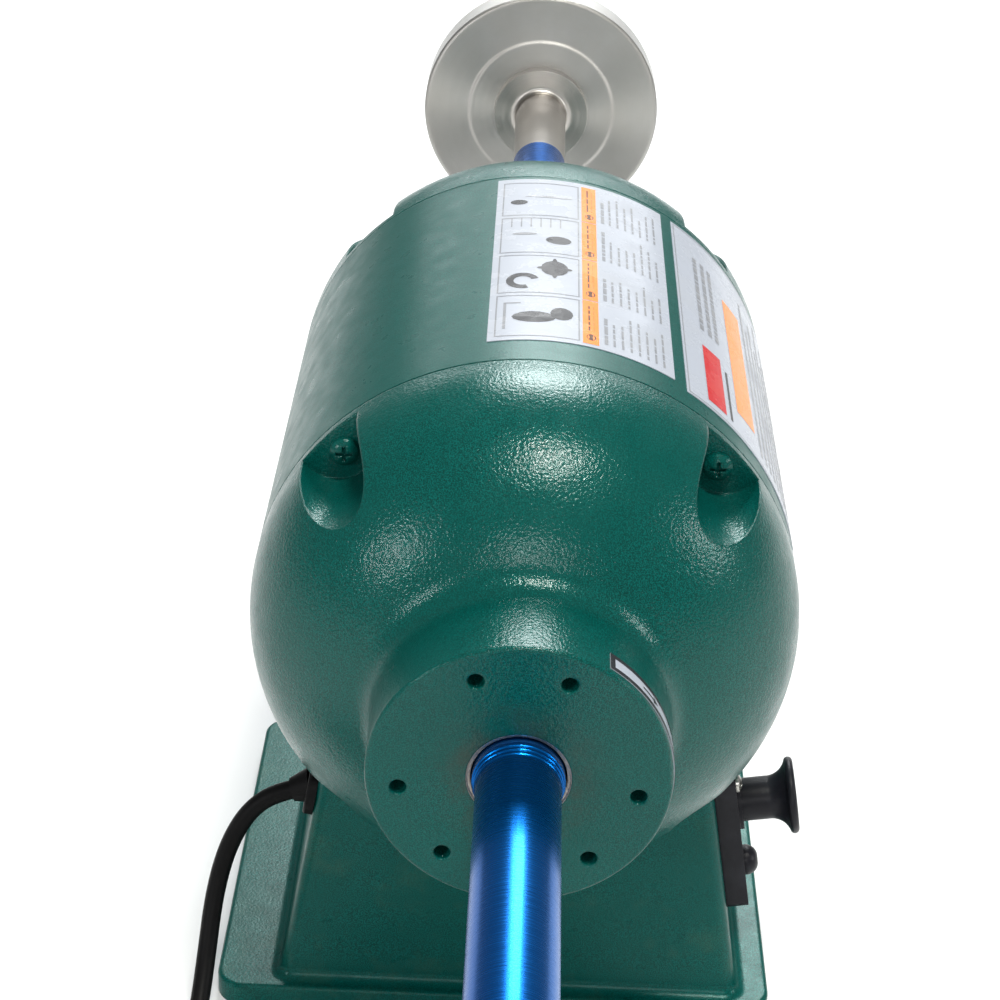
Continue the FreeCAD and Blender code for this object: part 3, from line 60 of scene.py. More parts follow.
def make_camera():
    """A camera that looks along +X and down, with a little roll."""
    ahead = Vector((math.cos(CAMERA_YAW), math.sin(CAMERA_YAW), 0))
    right = Vector((math.sin(CAMERA_YAW), -math.cos(CAMERA_YAW), 0))
    up = Vector((0, 0, 1))
    down_look = ahead * math.cos(CAMERA_PITCH) - up * math.sin(CAMERA_PITCH)
    up_look = up * math.cos(CAMERA_PITCH) + ahead * math.sin(CAMERA_PITCH)
    side = right * math.cos(CAMERA_ROLL) + up_look * math.sin(CAMERA_ROLL)
    top = up_look * math.cos(CAMERA_ROLL) - right * math.sin(CAMERA_ROLL)
    turn = Matrix((side, top, -down_look)).transposed().to_4x4()
    data = bpy.data.cameras.new("camera")
    data.lens = LENS
    data.sensor_width = SENSOR
    data.clip_start = 0.01
    camera = bpy.data.objects.new("camera", data)
    bpy.context.scene.collection.objects.link(camera)
    camera.matrix_world = Matrix.Translation(CAMERA_PLACE) @ turn
    bpy.context.scene.camera = camera


# ---------------------------------------------------------------- cord

CORD_DIAMETER = 6.8 * MM
CORD_EXIT = (-66.0, 79.25, 83.14)
CORD_ROUTE = [
    (-66.2, 85.4, 81.1), (-66.8, 92.0, 76.7), (-68, 98.1, 68.9), (-71, 103.5, 57), (-77, 107, 42.3),
    (-87, 108.4, 27.5), (-100.5, 109.3, 15.5), (-117, 110.6, 7.2), (-136, 112.6, 4.2), (-155, 115.3, 4.4),
    (-174, 115.35, 4.75),
]
COIL_X, COIL_Y = -190, 160
COIL_OUTER, COIL_LOW, COIL_TOP = 44.05, 4.75, 11.65
COIL_STEP = 6.8
COIL_TURNS = 5.25
POINTS_PER_TURN = 24
# (angle from +X, radius from the coil's middle, height) of the end that leaves the coil
CORD_TAIL = [(158, 45.25, 10.75), (138, 49.05, 7.45), (118, 54.55, 5.6), (99, 59.05, 6.0), (83, 62.55, 8.8)]


def eased(start, stop, turn):
    """0 before start, 1 after stop, and a smooth step between them."""
    part = min(max((turn - start) / (stop - start), 0), 1)
    return part * part * (3 - 2 * part)


def coil_point(turn):
    """The cord after so many turns: inwards on the bench, up at the inside, outwards on top."""
    inwards = eased(0.8, 1.0, turn) + eased(1.8, 2.0, turn)
    outwards = eased(3.25, 3.5, turn) + eased(4.25, 4.5, turn)
    radius = COIL_OUTER - COIL_STEP * (inwards - outwards)
    height = COIL_LOW + (COIL_TOP - COIL_LOW) * eased(2.55, 2.8, turn)
    swing = math.radians(-90) - math.tau * turn
    reach = radius / math.cos(math.pi / POINTS_PER_TURN)
    return (COIL_X + reach * math.cos(swing), COIL_Y + reach * math.sin(swing), height)


def tail_point(angle, radius, height):
    swing = math.radians(angle)
    return (COIL_X + radius * math.cos(swing), COIL_Y + radius * math.sin(swing), height)


def make_cord():
    steps = round(COIL_TURNS * POINTS_PER_TURN)
    points = [CORD_EXIT, *CORD_ROUTE]
    points += [coil_point(step / POINTS_PER_TURN) for step in range(steps + 1)]
    points += [tail_point(*spot) for spot in CORD_TAIL]
    curve = bpy.data.curves.new("mains_cord", "CURVE")
    curve.dimensions = "3D"
    curve.bevel_depth = 1.0
    curve.bevel_resolution = 5
    curve.resolution_u = 6
    curve.use_fill_caps = True
    spline = curve.splines.new("NURBS")
    spline.points.add(len(points) - 1)
    for spot, point in zip(spline.points, points):
        spot.co = (point[0] * MM, point[1] * MM, point[2] * MM, 1)
        spot.radius = CORD_DIAMETER / 2
    spline.order_u = 3
    spline.use_endpoint_u = True
    cord = bpy.data.objects.new("mains_cord", curve)
    bpy.context.scene.collection.objects.link(cord)
    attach(cord, "machine")
    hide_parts(*FREE_CORD)
    return cord


# ---------------------------------------------------------------- shader building blocks

class Shader:
    """A Principled material with short ways to add procedural detail to it."""

    def __init__(self, name, **inputs):
        self.material = bpy.data.materials.new(name)
        self.material.use_nodes = True
        self.tree = self.material.node_tree
        self.tree.nodes.clear()
        self.surface = self.tree.nodes.new("ShaderNodeBsdfPrincipled")
        output = self.tree.nodes.new("ShaderNodeOutputMaterial")
        self.tree.links.new(self.surface.outputs[0], output.inputs["Surface"])
        self.place = self.tree.nodes.new("ShaderNodeTexCoord").outputs["Object"]
        for field, value in inputs.items():
            self.feed(field.replace("_", " "), value)

    def feed(self, field, value):
        self.put(self.surface.inputs[field], value)

    def put(self, socket, value):
        """Link a socket, or set a plain value on it."""
        if isinstance(value, bpy.types.NodeSocket):
            self.tree.links.new(value, socket)
        elif isinstance(value, tuple) and len(value) == 3 and len(socket.default_value) == 4:
            socket.default_value = (*value, 1)
        else:
            socket.default_value = value

    def add(self, kind, inputs, out=0, **settings):
        made = self.tree.nodes.new(kind)
        for field, value in settings.items():
            setattr(made, field, value)
        for field, value in inputs.items():
            self.put(made.inputs[field], value)
        return made.outputs[out]

    def math(self, operation, first, second=0.0):
        return self.add("ShaderNodeMath", {0: first, 1: second}, operation=operation)

    def noise(self, scale, detail=2.0, roughness=0.5, place=None, stretch=None):
        place = place or self.place
        if stretch:
            place = self.add("ShaderNodeMapping", {"Vector": place, "Scale": stretch})
        return self.add("ShaderNodeTexNoise",
                        {"Vector": place, "Scale": scale, "Detail": detail, "Roughness": roughness})

    def spread(self, value, low, high, to_low=0.0, to_high=1.0):
        """Stretch a value from low..high to another range, with flat ends."""
        return self.add("ShaderNodeMapRange", {"Value": value, "From Min": low, "From Max": high,
                                               "To Min": to_low, "To Max": to_high})

    def mix(self, factor, first, second):
        return self.add("ShaderNodeMix", {0: factor, 6: first, 7: second}, out=2, data_type="RGBA")

    def bump(self, height, depth, normal=None):
        inputs = {"Strength": 1.0, "Distance": depth, "Height": height}
        if normal:
            inputs["Normal"] = normal
        return self.add("ShaderNodeBump", inputs)

    def soft_edges(self, radius):
        return self.add("ShaderNodeBevel", {"Radius": radius}, samples=4)

    def parts(self):
        """The x, y and z of the shaded point, in metres."""
        made = self.tree.nodes.new("ShaderNodeSeparateXYZ")
        self.put(made.inputs[0], self.place)
        return made.outputs

    def from_axis(self):
        """How far the shaded point is from the arbor's axis."""
        _, y, z = self.parts()
        up = self.math("SUBTRACT", z, AXIS_HEIGHT)
        return self.math("SQRT", self.math("ADD", self.math("MULTIPLY", y, y), self.math("MULTIPLY", up, up)))

    def around_axis(self):
        """Coordinates along, out from and round the arbor, for turning marks."""
        x, _, _ = self.parts()
        return self.add("ShaderNodeCombineXYZ", {0: x, 1: self.from_axis()})


# ---------------------------------------------------------------- materials

GREEN = (0.0005, 0.078, 0.064)
GREEN_LIGHT = (0.001, 0.118, 0.101)
GREEN_DEEP = (0.0003, 0.050, 0.041)
BARE_IRON, BRIGHT_IRON = (0.30, 0.25, 0.19), (0.55, 0.50, 0.42)
GRIME = (0.055, 0.045, 0.030)
DUST = (0.055, 0.115, 0.070)
FLAKE_METALLIC = 0.12
BARE_RADIUS = 15.65 * MM
GRIME_RADIUS = 29 * MM
SKIN_DEPTH = 0.00019


def green_enamel(name, peel=1.0, bore=False, dust=0.0, gloss=0.11, coat=0.42):
    """Glossy enamel with metallic flecks and an orange-peel skin; the bore of a bell stays bare."""
    shader = Shader(name, Coat_Weight=coat, Coat_Roughness=gloss, Specular_IOR_Level=0.06,
                    Metallic=FLAKE_METALLIC)
    flecks = shader.spread(shader.noise(2600, 1.0), 0.42, 0.62)
    clouds = shader.spread(shader.noise(26, 4.0), 0.35, 0.68)
    colour = shader.mix(flecks, GREEN_DEEP, GREEN_LIGHT)
    colour = shader.mix(shader.math("MULTIPLY", clouds, 0.6), colour, GREEN)
    rough = shader.spread(shader.noise(120, 3.0), 0.3, 0.7, 0.26, 0.42)
    if dust:
        specks = shader.spread(shader.noise(45, 6.0, 0.7), 0.52, 0.78, 0.0, dust)
        colour = shader.mix(specks, colour, DUST)
    if bore:
        radius = shader.from_axis()
        near_bore = shader.spread(radius, 0.0160, GRIME_RADIUS, 1.0, 0.0)
        stain = shader.math("MULTIPLY", near_bore, shader.spread(shader.noise(95, 5.0, 0.65), 0.35, 0.7))
        colour = shader.mix(shader.math("MULTIPLY", stain, 0.55), colour, GRIME)
        wall = shader.math("LESS_THAN", radius, BARE_RADIUS)
        scratches = shader.noise(900, 3.0, stretch=(6.0, 1.0, 1.0))
        iron = shader.mix(scratches, BARE_IRON, BRIGHT_IRON)
        colour = shader.mix(wall, colour, iron)
        shader.feed("Metallic", shader.spread(wall, 0.0, 1.0, FLAKE_METALLIC, 1.0))
        rough = shader.math("ADD", rough, shader.math("MULTIPLY", wall, 0.08))
    shader.feed("Base Color", colour)
    shader.feed("Roughness", rough)
    skin = shader.noise(980, 2.5, 0.55)
    swell = shader.noise(190, 1.0)
    relief = shader.math("ADD", skin, shader.math("MULTIPLY", swell, 0.4))
    normal = shader.bump(relief, SKIN_DEPTH * peel, shader.soft_edges(0.0011))
    shader.feed("Normal", normal)
    shader.feed("Coat Normal", normal)
    return shader.material


def blue_anodised():
    shader = Shader("blue_anodised", Metallic=0.9, Anisotropic=0.3, Coat_Weight=0.03, Coat_Roughness=0.05,
                    Specular_IOR_Level=0.1)
    rings = shader.noise(1500, 2.0, place=shader.around_axis(), stretch=(1.0, 0.05, 1.0))
    shade = shader.spread(shader.noise(18, 3.0, stretch=(0.3, 1.0, 1.0)), 0.3, 0.7)
    colour = shader.mix(shade, (0.0006, 0.075, 0.34), (0.001, 0.120, 0.44))
    shader.feed("Base Color", shader.mix(shader.math("MULTIPLY", rings, 0.25), colour, (0.002, 0.17, 0.52)))
    shader.feed("Roughness", shader.spread(rings, 0.3, 0.7, 0.20, 0.32))
    shader.feed("Normal", shader.bump(rings, 0.000012, shader.soft_edges(0.0003)))
    shader.feed("Tangent", shader.add("ShaderNodeTangent", {}, direction_type="RADIAL", axis="X"))
    return shader.material


def turned_metal(name, dark, light, roughness, mark_depth, edge=0.0004):
    """Metal faced on a lathe: fine rings round the arbor that pull the highlight into a fan."""
    shader = Shader(name, Metallic=1.0, Anisotropic=0.75)
    place = shader.around_axis()
    rings = shader.noise(900, 3.0, 0.6, place=place)
    broad = shader.noise(70, 3.0, place=place)
    smudge = shader.spread(shader.noise(32, 4.0, 0.6), 0.35, 0.7)
    colour = shader.mix(rings, dark, light)
    colour = shader.mix(shader.math("MULTIPLY", shader.spread(broad, 0.35, 0.65), 0.35), colour, dark)
    shader.feed("Base Color", shader.mix(shader.math("MULTIPLY", smudge, 0.22), colour, (0.30, 0.28, 0.24)))
    polish = shader.spread(rings, 0.3, 0.7, roughness - 0.05, roughness + 0.06)
    shader.feed("Roughness", shader.math("ADD", polish, shader.math("MULTIPLY", smudge, 0.06)))
    shader.feed("Normal", shader.bump(rings, mark_depth, shader.soft_edges(edge)))
    shader.feed("Tangent", shader.add("ShaderNodeTangent", {}, direction_type="RADIAL", axis="X"))
    return shader.material


def plain_metal(name, dark, light, roughness, grain=400):
    """Plated, drawn or cast metal with a mottled surface."""
    shader = Shader(name, Metallic=1.0)
    mottle = shader.noise(grain, 4.0, 0.6)
    shader.feed("Base Color", shader.mix(mottle, dark, light))
    shader.feed("Roughness", shader.spread(mottle, 0.3, 0.7, roughness - 0.06, roughness + 0.1))
    shader.feed("Normal", shader.bump(mottle, 0.00004, shader.soft_edges(0.0004)))
    return shader.material


def moulded_plastic(name, colour, worn, roughness):
    """Fine-grained moulded plastic, paler where hands polish it."""
    shader = Shader(name, Specular_IOR_Level=0.22)
    grain = shader.noise(1900, 2.0)
    rubbed = shader.spread(shader.noise(75, 5.0, 0.65), 0.45, 0.75)
    shader.feed("Base Color", shader.mix(shader.math("MULTIPLY", rubbed, 0.6), colour, worn))
    matt = shader.spread(grain, 0.3, 0.7, roughness, roughness + 0.12)
    shader.feed("Roughness", shader.math("SUBTRACT", matt, shader.math("MULTIPLY", rubbed, 0.08)))
    shader.feed("Normal", shader.bump(grain, 0.00005, shader.soft_edges(0.0007)))
    return shader.material


def cord_rubber():
    shader = Shader("cord_rubber", Specular_IOR_Level=0.12)
    dust = shader.spread(shader.noise(150, 5.0, 0.7), 0.5, 0.8)
    shader.feed("Base Color", shader.mix(shader.math("MULTIPLY", dust, 0.5), (0.0035, 0.0035, 0.0038),
                                         (0.013, 0.013, 0.012)))
    shader.feed("Roughness", shader.spread(dust, 0.0, 1.0, 0.48, 0.68))
    shader.feed("Normal", shader.bump(shader.noise(1300, 2.0), 0.00006))
    return shader.material


def wound_wire():
    """Varnished wire wound round the stator."""
    shader = Shader("varnished_wire", Metallic=0.8, Coat_Weight=0.5, Coat_Roughness=0.2)
    strands = shader.noise(700, 2.0, place=shader.around_axis(), stretch=(1.0, 1.0, 1.0))
    shader.feed("Base Color", shader.mix(strands, (0.22, 0.055, 0.015), (0.62, 0.24, 0.09)))
    shader.feed("Roughness", shader.spread(strands, 0.3, 0.7, 0.25, 0.45))
    shader.feed("Normal", shader.bump(strands, 0.0004))
    return shader.material


def stacked_sheet():
    """The edges of the stator's and the rotor's laminations."""
    shader = Shader("stacked_sheet", Metallic=1.0)
    x, _, _ = shader.parts()
    layers = shader.math("PINGPONG", x, 0.0005)
    shader.feed("Base Color", shader.mix(shader.math("MULTIPLY", layers, 2000.0), (0.10, 0.10, 0.11),
                                         (0.34, 0.34, 0.35)))
    shader.feed("Roughness", shader.spread(shader.noise(300, 3.0), 0.3, 0.7, 0.35, 0.55))
    shader.feed("Normal", shader.bump(layers, 0.3))
    return shader.material


def printed_film(name, colour, fade):
    """Glossy label film or the ink on it, a little yellowed and scuffed."""
    shader = Shader(name, Coat_Weight=0.05, Coat_Roughness=0.2, Specular_IOR_Level=0.12)
    scuff = shader.spread(shader.noise(70, 5.0, 0.65), 0.45, 0.75)
    shader.feed("Base Color", shader.mix(shader.math("MULTIPLY", scuff, 0.35), colour, fade))
    shader.feed("Roughness", shader.spread(scuff, 0.0, 1.0, 0.24, 0.38))
    shader.feed("Normal", shader.bump(shader.noise(40, 1.0), 0.0002))
    return shader.material


def make_materials():
    bells = green_enamel("bell_enamel", peel=1.0, bore=True)
    # the rolled barrel has the same paint on sheet, with a finer skin
    barrel = green_enamel("barrel_enamel", peel=0.16, gloss=0.34, coat=0.32)
    pedestal = green_enamel("pedestal_enamel", peel=0.3, dust=0.35, gloss=0.26, coat=0.22)
    screws = green_enamel("screw_enamel", peel=0.6)
    sleeves = blue_anodised()
    wheel = turned_metal("faced_wheel", (0.44, 0.43, 0.41), (0.52, 0.51, 0.49), 0.42, 0.000008, edge=0.002)
    flange = turned_metal("turned_flange", (0.42, 0.40, 0.37), (0.56, 0.54, 0.52), 0.30, 0.000006)
    steel = turned_metal("ground_steel", (0.46, 0.46, 0.46), (0.68, 0.68, 0.68), 0.20, 0.000006)
    bearing = plain_metal("bearing_steel", (0.55, 0.55, 0.56), (0.75, 0.75, 0.77), 0.14, 900)
    plated = plain_metal("zinc_plate", (0.40, 0.40, 0.37), (0.66, 0.65, 0.60), 0.30)
    cast = plain_metal("cast_aluminium", (0.42, 0.42, 0.43), (0.62, 0.62, 0.63), 0.42, 250)
    drawn = plain_metal("drawn_can", (0.60, 0.60, 0.61), (0.74, 0.74, 0.75), 0.26, 120)
    brass = plain_metal("brass_contact", (0.55, 0.40, 0.15), (0.80, 0.62, 0.30), 0.22)
    slate = moulded_plastic("slate_plastic", (0.0075, 0.0078, 0.0115), (0.020, 0.021, 0.027), 0.36)
    ivory = moulded_plastic("ivory_plastic", (0.70, 0.66, 0.54), (0.80, 0.77, 0.68), 0.42)
    woven = moulded_plastic("tie_fabric", (0.015, 0.015, 0.017), (0.05, 0.05, 0.05), 0.75)
    rubber = cord_rubber()
    film = printed_film("label_film", (0.41, 0.44, 0.50), (0.37, 0.385, 0.40))
    worn = {
        bells: ["right_end_bell", "left_end_bell"],
        barrel: ["motor_housing"],
        pedestal: ["base_casting", "bottom_cover"],
        screws: ["right_bell_screws", "left_bell_screws"],
        sleeves: ["right_spacer_sleeve", "left_spacer_sleeve"],
        wheel: ["grinding_wheel"],
        flange: ["right_inner_flange", "left_inner_flange", "right_outer_flange", "left_outer_flange"],
        steel: ["arbor_shaft", "right_arbor_nut", "left_arbor_nut", "preload_washers"],
        bearing: ["right_bearing_outer_race", "left_bearing_outer_race", "right_bearing_inner_race",
                  "left_bearing_inner_race", "right_bearing_balls", "left_bearing_balls"],
        plated: ["bottom_cover_screws", "motor_bolts", "capacitor_clamp", "deck_screws", "switch_screws"],
        cast: ["rotor_end_rings"],
        drawn: ["capacitor"],
        brass: ["plug_blades"],
        slate: ["switch_plate", "switch_knob", "reset_button", "switch_body", "overload_breaker"],
        ivory: ["terminal_block"],
        woven: ["cord_tie"],
        rubber: ["strain_relief", "plug_body", *FREE_CORD],
        film: ["instruction_label", "rating_plate", "rotation_label"],
        wound_wire(): ["stator_windings"],
        stacked_sheet(): ["stator_core", "rotor_core"],
    }
    for material, names in worn.items():
        for name in names:
            wear(nodes[name], material)
    return {"rubber": rubber, "steel": steel, "bell": bells}


def wear(piece, material):
    if not piece.material_slots:
        piece.data.materials.append(material)
    for slot in piece.material_slots:
        slot.material = material


# ---------------------------------------------------------------- printed labels

PRINT_LIFT = 0.07 * MM
BARREL_LABEL_RADIUS = 90.25 * MM
BOSS_LABEL_RADIUS = 45.95 * MM
# the angles that each label spans, from straight up towards the operator
INSTRUCTION_ANGLES, RATING_ANGLES, ROTATION_ANGLES = (-10, 30), (33, 78), (33, 100)


class Print:
    """Flat ink shapes wrapped round the arbor's axis over one label. A place on the label is two
    parts from 0 to 1: across, from its first angle to its last, and along, from its near end."""

    def __init__(self, name, label, radius, first_angle, last_angle):
        self.name = name
        self.near, self.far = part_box(label)[0].x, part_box(label)[1].x
        self.radius = radius + PRINT_LIFT
        self.first, self.last = first_angle, last_angle
        self.points = []
        self.faces = []
        self.inks = []

    def spot(self, across, along):
        angle = math.radians(self.first + across * (self.last - self.first))
        x = self.near + along * (self.far - self.near)
        return (x, -self.radius * math.sin(angle), AXIS_HEIGHT + self.radius * math.cos(angle))

    def face(self, corners, ink):
        start = len(self.points)
        self.points += [self.spot(*corner) for corner in corners]
        self.faces.append(range(start, start + len(corners)))
        self.inks.append(ink)

    def bar(self, across, to_across, along, to_along, ink):
        """A rectangle, in strips that are narrow enough to follow the curve."""
        strips = max(1, math.ceil(abs(to_across - across) * (self.last - self.first) / 1.5))
        for i in range(strips):
            low = across + (to_across - across) * i / strips
            high = across + (to_across - across) * (i + 1) / strips
            self.face([(low, along), (low, to_along), (high, to_along), (high, along)], ink)

    def frame(self, across, to_across, along, to_along, width, ink):
        """A rectangle's outline; width is a part of the label's length."""
        wide = width * (self.far - self.near) / (self.radius * math.radians(self.last - self.first))
        self.bar(across, to_across, along, along + width, ink)
        self.bar(across, to_across, to_along - width, to_along, ink)
        self.bar(across, across + wide, along + width, to_along - width, ink)
        self.bar(to_across - wide, to_across, along + width, to_along - width, ink)

    def disc(self, across, along, wide, long, lean, ink, start=0, stop=360, hole=0.0):
        """An ellipse, a sector of one, or a ring."""
        steps = 14
        lean = math.radians(lean)
        angles = [math.radians(start + (stop - start) * i / steps) for i in range(steps + 1)]

        def rim(angle, size):
            u, v = wide * math.cos(angle) * size, long * math.sin(angle) * size
            return (across + u * math.cos(lean) - v * math.sin(lean) * wide / long,
                    along + v * math.cos(lean) + u * math.sin(lean) * long / wide)

        for before, after in zip(angles, angles[1:]):
            self.face([rim(before, hole), rim(before, 1), rim(after, 1), rim(after, hole)], ink)

    def words(self, across, along, to_along, wide, ink, chance):
        """A line of print: short bars of uneven length with gaps between them."""
        start = along
        while start < to_along - 0.006:
            stop = min(start + chance.uniform(0.014, 0.050), to_along)
            self.bar(across, across + wide, start, stop, ink)
            start = stop + 0.008

    def finish(self, inks):
        mesh = bpy.data.meshes.new(self.name)
        mesh.from_pydata(self.points, [], self.faces)
        names = list(inks)
        for material in inks.values():
            mesh.materials.append(material)
        for polygon, ink in zip(mesh.polygons, self.inks):
            polygon.material_index = names.index(ink)
            if polygon.normal.dot(polygon.center - Vector((polygon.center.x, 0, AXIS_HEIGHT))) < 0:
                polygon.flip()
        mesh.validate()
        piece = bpy.data.objects.new(self.name, mesh)
        bpy.context.scene.collection.objects.link(piece)
        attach(piece, "machine")
        return piece


def instruction_print(inks):
    """Four picture panels, an orange strip in four cells, and columns of plain bars for print."""
    chance = random.Random(4)
    print_ = Print("instruction_print", "instruction_label", BARREL_LABEL_RADIUS, *INSTRUCTION_ANGLES)
    panel_end, strip_start, strip_end, print_start = 0.475, 0.49, 0.575, 0.605
    cells = [(0.020 + 0.242 * i, 0.020 + 0.242 * i + 0.226) for i in range(4)]
    for low, high in cells:
        print_.frame(0.035, panel_end, low, high, 0.0035, "grey")
        print_.bar(strip_start, strip_end, low - 0.006, high + 0.006, "orange")
        print_.words(0.520, low + 0.065, high - 0.012, 0.030, "dark", chance)
        print_.disc(0.535, low + 0.030, 0.026, 0.017, 0, "dark", start=180, stop=540)
        for column in range(8):
            across = print_start + 0.047 * column
            length = chance.uniform(0.55, 0.98) * (high - low - 0.03)
            wide = 0.012 if column else 0.019
            print_.words(across, low + 0.012, low + 0.012 + length, wide, "grey", chance)
    near, second, third, far = [low for low, _ in cells]
    print_.disc(0.235, near + 0.105, 0.115, 0.030, 24, "ink")
    print_.disc(0.380, near + 0.130, 0.060, 0.034, -30, "ink")
    print_.bar(0.075, 0.090, near + 0.040, near + 0.185, "grey")
    print_.bar(0.075, 0.165, near + 0.180, near + 0.186, "grey")
    print_.disc(0.170, second + 0.070, 0.090, 0.046, 0, "ink", start=20, stop=290, hole=0.55)
    print_.disc(0.340, second + 0.150, 0.075, 0.044, 0, "ink", hole=0.35)
    print_.disc(0.340, second + 0.150, 0.098, 0.012, 0, "ink")
    print_.disc(0.340, second + 0.150, 0.020, 0.060, 0, "ink")
    print_.disc(0.360, third + 0.085, 0.072, 0.024, -35, "ink")
    print_.disc(0.170, third + 0.120, 0.070, 0.008, 35, "grey")
    print_.disc(0.300, far + 0.130, 0.140, 0.006, 20, "grey")
    print_.disc(0.130, far + 0.090, 0.050, 0.016, 0, "ink")
    for i in range(6):
        print_.bar(0.090 + 0.055 * i, 0.098 + 0.055 * i, third + 0.165, third + 0.222, "grey")
    print_.finish(inks)


def rating_print(inks):
    """A plain red bar, an orange block and lines of bars."""
    chance = random.Random(9)
    print_ = Print("rating_print", "rating_plate", BARREL_LABEL_RADIUS, *RATING_ANGLES)
    print_.frame(0.012, 0.988, 0.008, 0.992, 0.0025, "grey")
    print_.bar(0.130, 0.250, 0.040, 0.330, "red")
    print_.bar(0.280, 0.296, 0.040, 0.290, "ink")
    print_.bar(0.345, 0.490, 0.130, 0.760, "orange")
    for across in (0.130, 0.185, 0.235):
        print_.words(across, 0.420, 0.860, 0.026, "grey", chance)
    for column in range(9):
        across = 0.530 + 0.048 * column
        print_.words(across, 0.050, chance.uniform(0.55, 0.95), 0.020, "grey", chance)
    print_.finish(inks)


def rotation_print(inks):
    """A black border and two plain arrowheads."""
    print_ = Print("rotation_print", "rotation_label", BOSS_LABEL_RADIUS, *ROTATION_ANGLES)
    print_.frame(0.000, 1.000, 0.000, 1.000, 0.22, "ink")
    for across in (0.25, 0.70):
        print_.bar(across, across + 0.10, 0.46, 0.56, "ink")
        print_.face([(across + 0.10, 0.32), (across + 0.10, 0.70), (across + 0.15, 0.51)], "ink")
    print_.finish(inks)


def make_prints():
    inks = {
        "ink": printed_film("black_ink", (0.030, 0.030, 0.034), (0.10, 0.10, 0.10)),
        "dark": printed_film("strip_ink", (0.10, 0.035, 0.010), (0.20, 0.08, 0.03)),
        "grey": printed_film("grey_ink", (0.24, 0.25, 0.27), (0.40, 0.40, 0.40)),
        "orange": printed_film("orange_ink", (0.86, 0.24, 0.030), (0.90, 0.40, 0.15)),
        "red": printed_film("red_ink", (0.52, 0.018, 0.022), (0.60, 0.15, 0.12)),
    }
    instruction_print(inks)
    rating_print(inks)
    rotation_print(inks)


# ---------------------------------------------------------------- threads

ARBOR_PITCH, TAPPING_PITCH = 2.5 * MM, 1.0 * MM
FAR_SHANK, FAR_RIDGE = 9.5 * MM, 0.45 * MM
NEAR_SHANK, NEAR_RIDGE = 9.23 * MM, 0.28 * MM
TAPPING_WALL, TAPPING_RIDGE, TAPPING_LENGTH = 2.49 * MM, 0.32 * MM, 10 * MM
GUARD_CIRCLE, GUARD_PAIR_ANGLE = 36 * MM, 22.1


def thread(name, start, heading, radius, depth, pitch, length, material, body, inside=False):
    """A screw thread about an axis along X: a ridge that winds round a shank or inside a hole."""
    per_turn = 24
    steps = int(length / pitch * per_turn)
    crest = radius - depth if inside else radius + depth
    points = []
    faces = []
    for i in range(steps + 1):
        swing = math.tau * i / per_turn
        along = pitch * i / per_turn
        fade = min(1, i / per_turn * 2, (steps - i) / per_turn * 2)
        top = radius + (crest - radius) * fade
        for offset, reach in ((-0.46 * pitch, radius), (0, top), (0.46 * pitch, radius)):
            x = start[0] + heading * (along + offset)
            points.append((x, start[1] + reach * math.sin(swing), start[2] + reach * math.cos(swing)))
        if i:
            low = 3 * (i - 1)
            for side in (0, 1):
                faces.append((low + side, low + side + 1, low + side + 4, low + side + 3))
    mesh = bpy.data.meshes.new(name)
    mesh.from_pydata(points, [], faces)
    for polygon in mesh.polygons:
        out = polygon.center - Vector((polygon.center.x, start[1], start[2]))
        if (polygon.normal.dot(out) < 0) != inside:
            polygon.flip()
    mesh.materials.append(material)
    piece = bpy.data.objects.new(name, mesh)
    bpy.context.scene.collection.objects.link(piece)
    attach(piece, body)


def make_threads(made):
    nut_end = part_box("left_arbor_nut")[0].x
    far_nut_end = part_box("right_arbor_nut")[1].x
    arbor_low, arbor_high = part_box("arbor_shaft")
    tip = 2.6 * MM
    axis = (0, AXIS_HEIGHT)
    thread("near_arbor_thread", (nut_end - tip / 2, *axis), -1, NEAR_SHANK, NEAR_RIDGE, ARBOR_PITCH,
           nut_end - arbor_low.x - 2 * tip, made["steel"], "arbor")
    thread("far_arbor_thread", (far_nut_end + tip / 2, *axis), 1, FAR_SHANK, FAR_RIDGE, ARBOR_PITCH,
           arbor_high.x - far_nut_end - 2 * tip, made["steel"], "arbor")
    for side, bell, face in ((-1, "left_end_bell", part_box("left_end_bell")[0].x),
                             (1, "right_end_bell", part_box("right_end_bell")[1].x)):
        for third in range(3):
            for step in (-1, 1):
                angle = math.radians(120 * third + step * GUARD_PAIR_ANGLE)
                place = (face - side * 1.4 * MM, -GUARD_CIRCLE * math.sin(angle),
                         AXIS_HEIGHT + GUARD_CIRCLE * math.cos(angle))
                name = f"{bell}_tapping_{third}_{'a' if step < 0 else 'b'}"
                thread(name, place, -side, TAPPING_WALL, TAPPING_RIDGE, TAPPING_PITCH, TAPPING_LENGTH,
                       made["bell"], "machine", inside=True)


# ---------------------------------------------------------------- floor and light

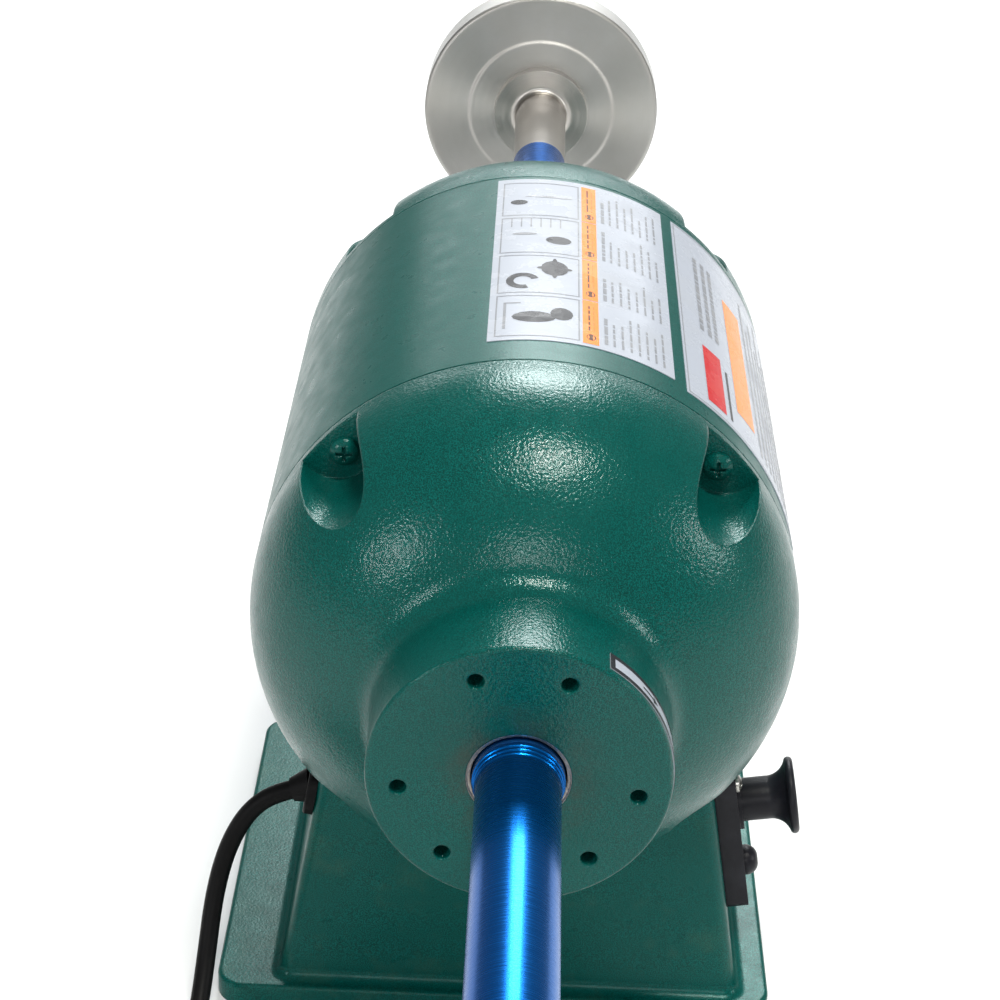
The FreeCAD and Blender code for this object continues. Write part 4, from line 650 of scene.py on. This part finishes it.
def make_floor():
    mesh = bpy.data.meshes.new("floor")
    reach = 6.0
    mesh.from_pydata([(-reach, -reach, 0), (reach, -reach, 0), (reach, reach, 0), (-reach, reach, 0)],
                     [], [(0, 1, 2, 3)])
    shader = Shader("pale_floor", Roughness=0.7, Specular_IOR_Level=0.2)
    shader.feed("Base Color", shader.mix(shader.noise(9, 3.0), (0.86, 0.86, 0.86), (0.90, 0.90, 0.90)))
    mesh.materials.append(shader.material)
    floor = bpy.data.objects.new("floor", mesh)
    bpy.context.scene.collection.objects.link(floor)


def panel_light(name, place, target, width, height, power, colour=(1, 1, 1)):
    """A soft rectangular lamp that points at a target."""
    data = bpy.data.lights.new(name, "AREA")
    data.shape = "RECTANGLE"
    data.size, data.size_y = width, height
    data.energy = power
    data.color = colour
    lamp = bpy.data.objects.new(name, data)
    bpy.context.scene.collection.objects.link(lamp)
    lamp.location = place
    lamp.rotation_euler = (Vector(target) - Vector(place)).to_track_quat("-Z", "Y").to_euler()


def make_light():
    motor = (0, 0, AXIS_HEIGHT)
    panel_light("window", (2.26, -0.16, 2.15), motor, 1.0, 1.2, 78, (0.96, 0.99, 1.0))
    panel_light("low_window", (2.8, 0.0, 0.95), motor, 2.2, 0.4, 12, (0.95, 0.98, 1.0))
    panel_light("overhead", (-0.67, -0.28, 2.25), motor, 0.44, 0.34, 34, (1.0, 0.98, 0.92))
    panel_light("ahead", (-2.1, -0.04, 1.10), (-0.14, 0, 0.22), 0.55, 0.16, 8)
    panel_light("left_lamp", (-1.45, 1.60, 0.95), motor, 0.30, 0.30, 10, (0.98, 0.98, 1.0))
    panel_light("right_lamp", (-0.47, -2.08, 0.93), motor, 0.45, 0.35, 10)
    world = bpy.data.worlds.new("studio")
    world.use_nodes = True
    background = world.node_tree.nodes["Background"]
    background.inputs["Color"].default_value = (0.97, 0.985, 1.0, 1)
    background.inputs["Strength"].default_value = 0.25
    bpy.context.scene.world = world
    bpy.context.scene.view_settings.view_transform = "Standard"


# ---------------------------------------------------------------- everything

def main():
    make_camera()
    cord = make_cord()
    made = make_materials()
    cord.data.materials.append(made["rubber"])
    make_prints()
    make_threads(made)
    make_floor()
    make_light()


main()
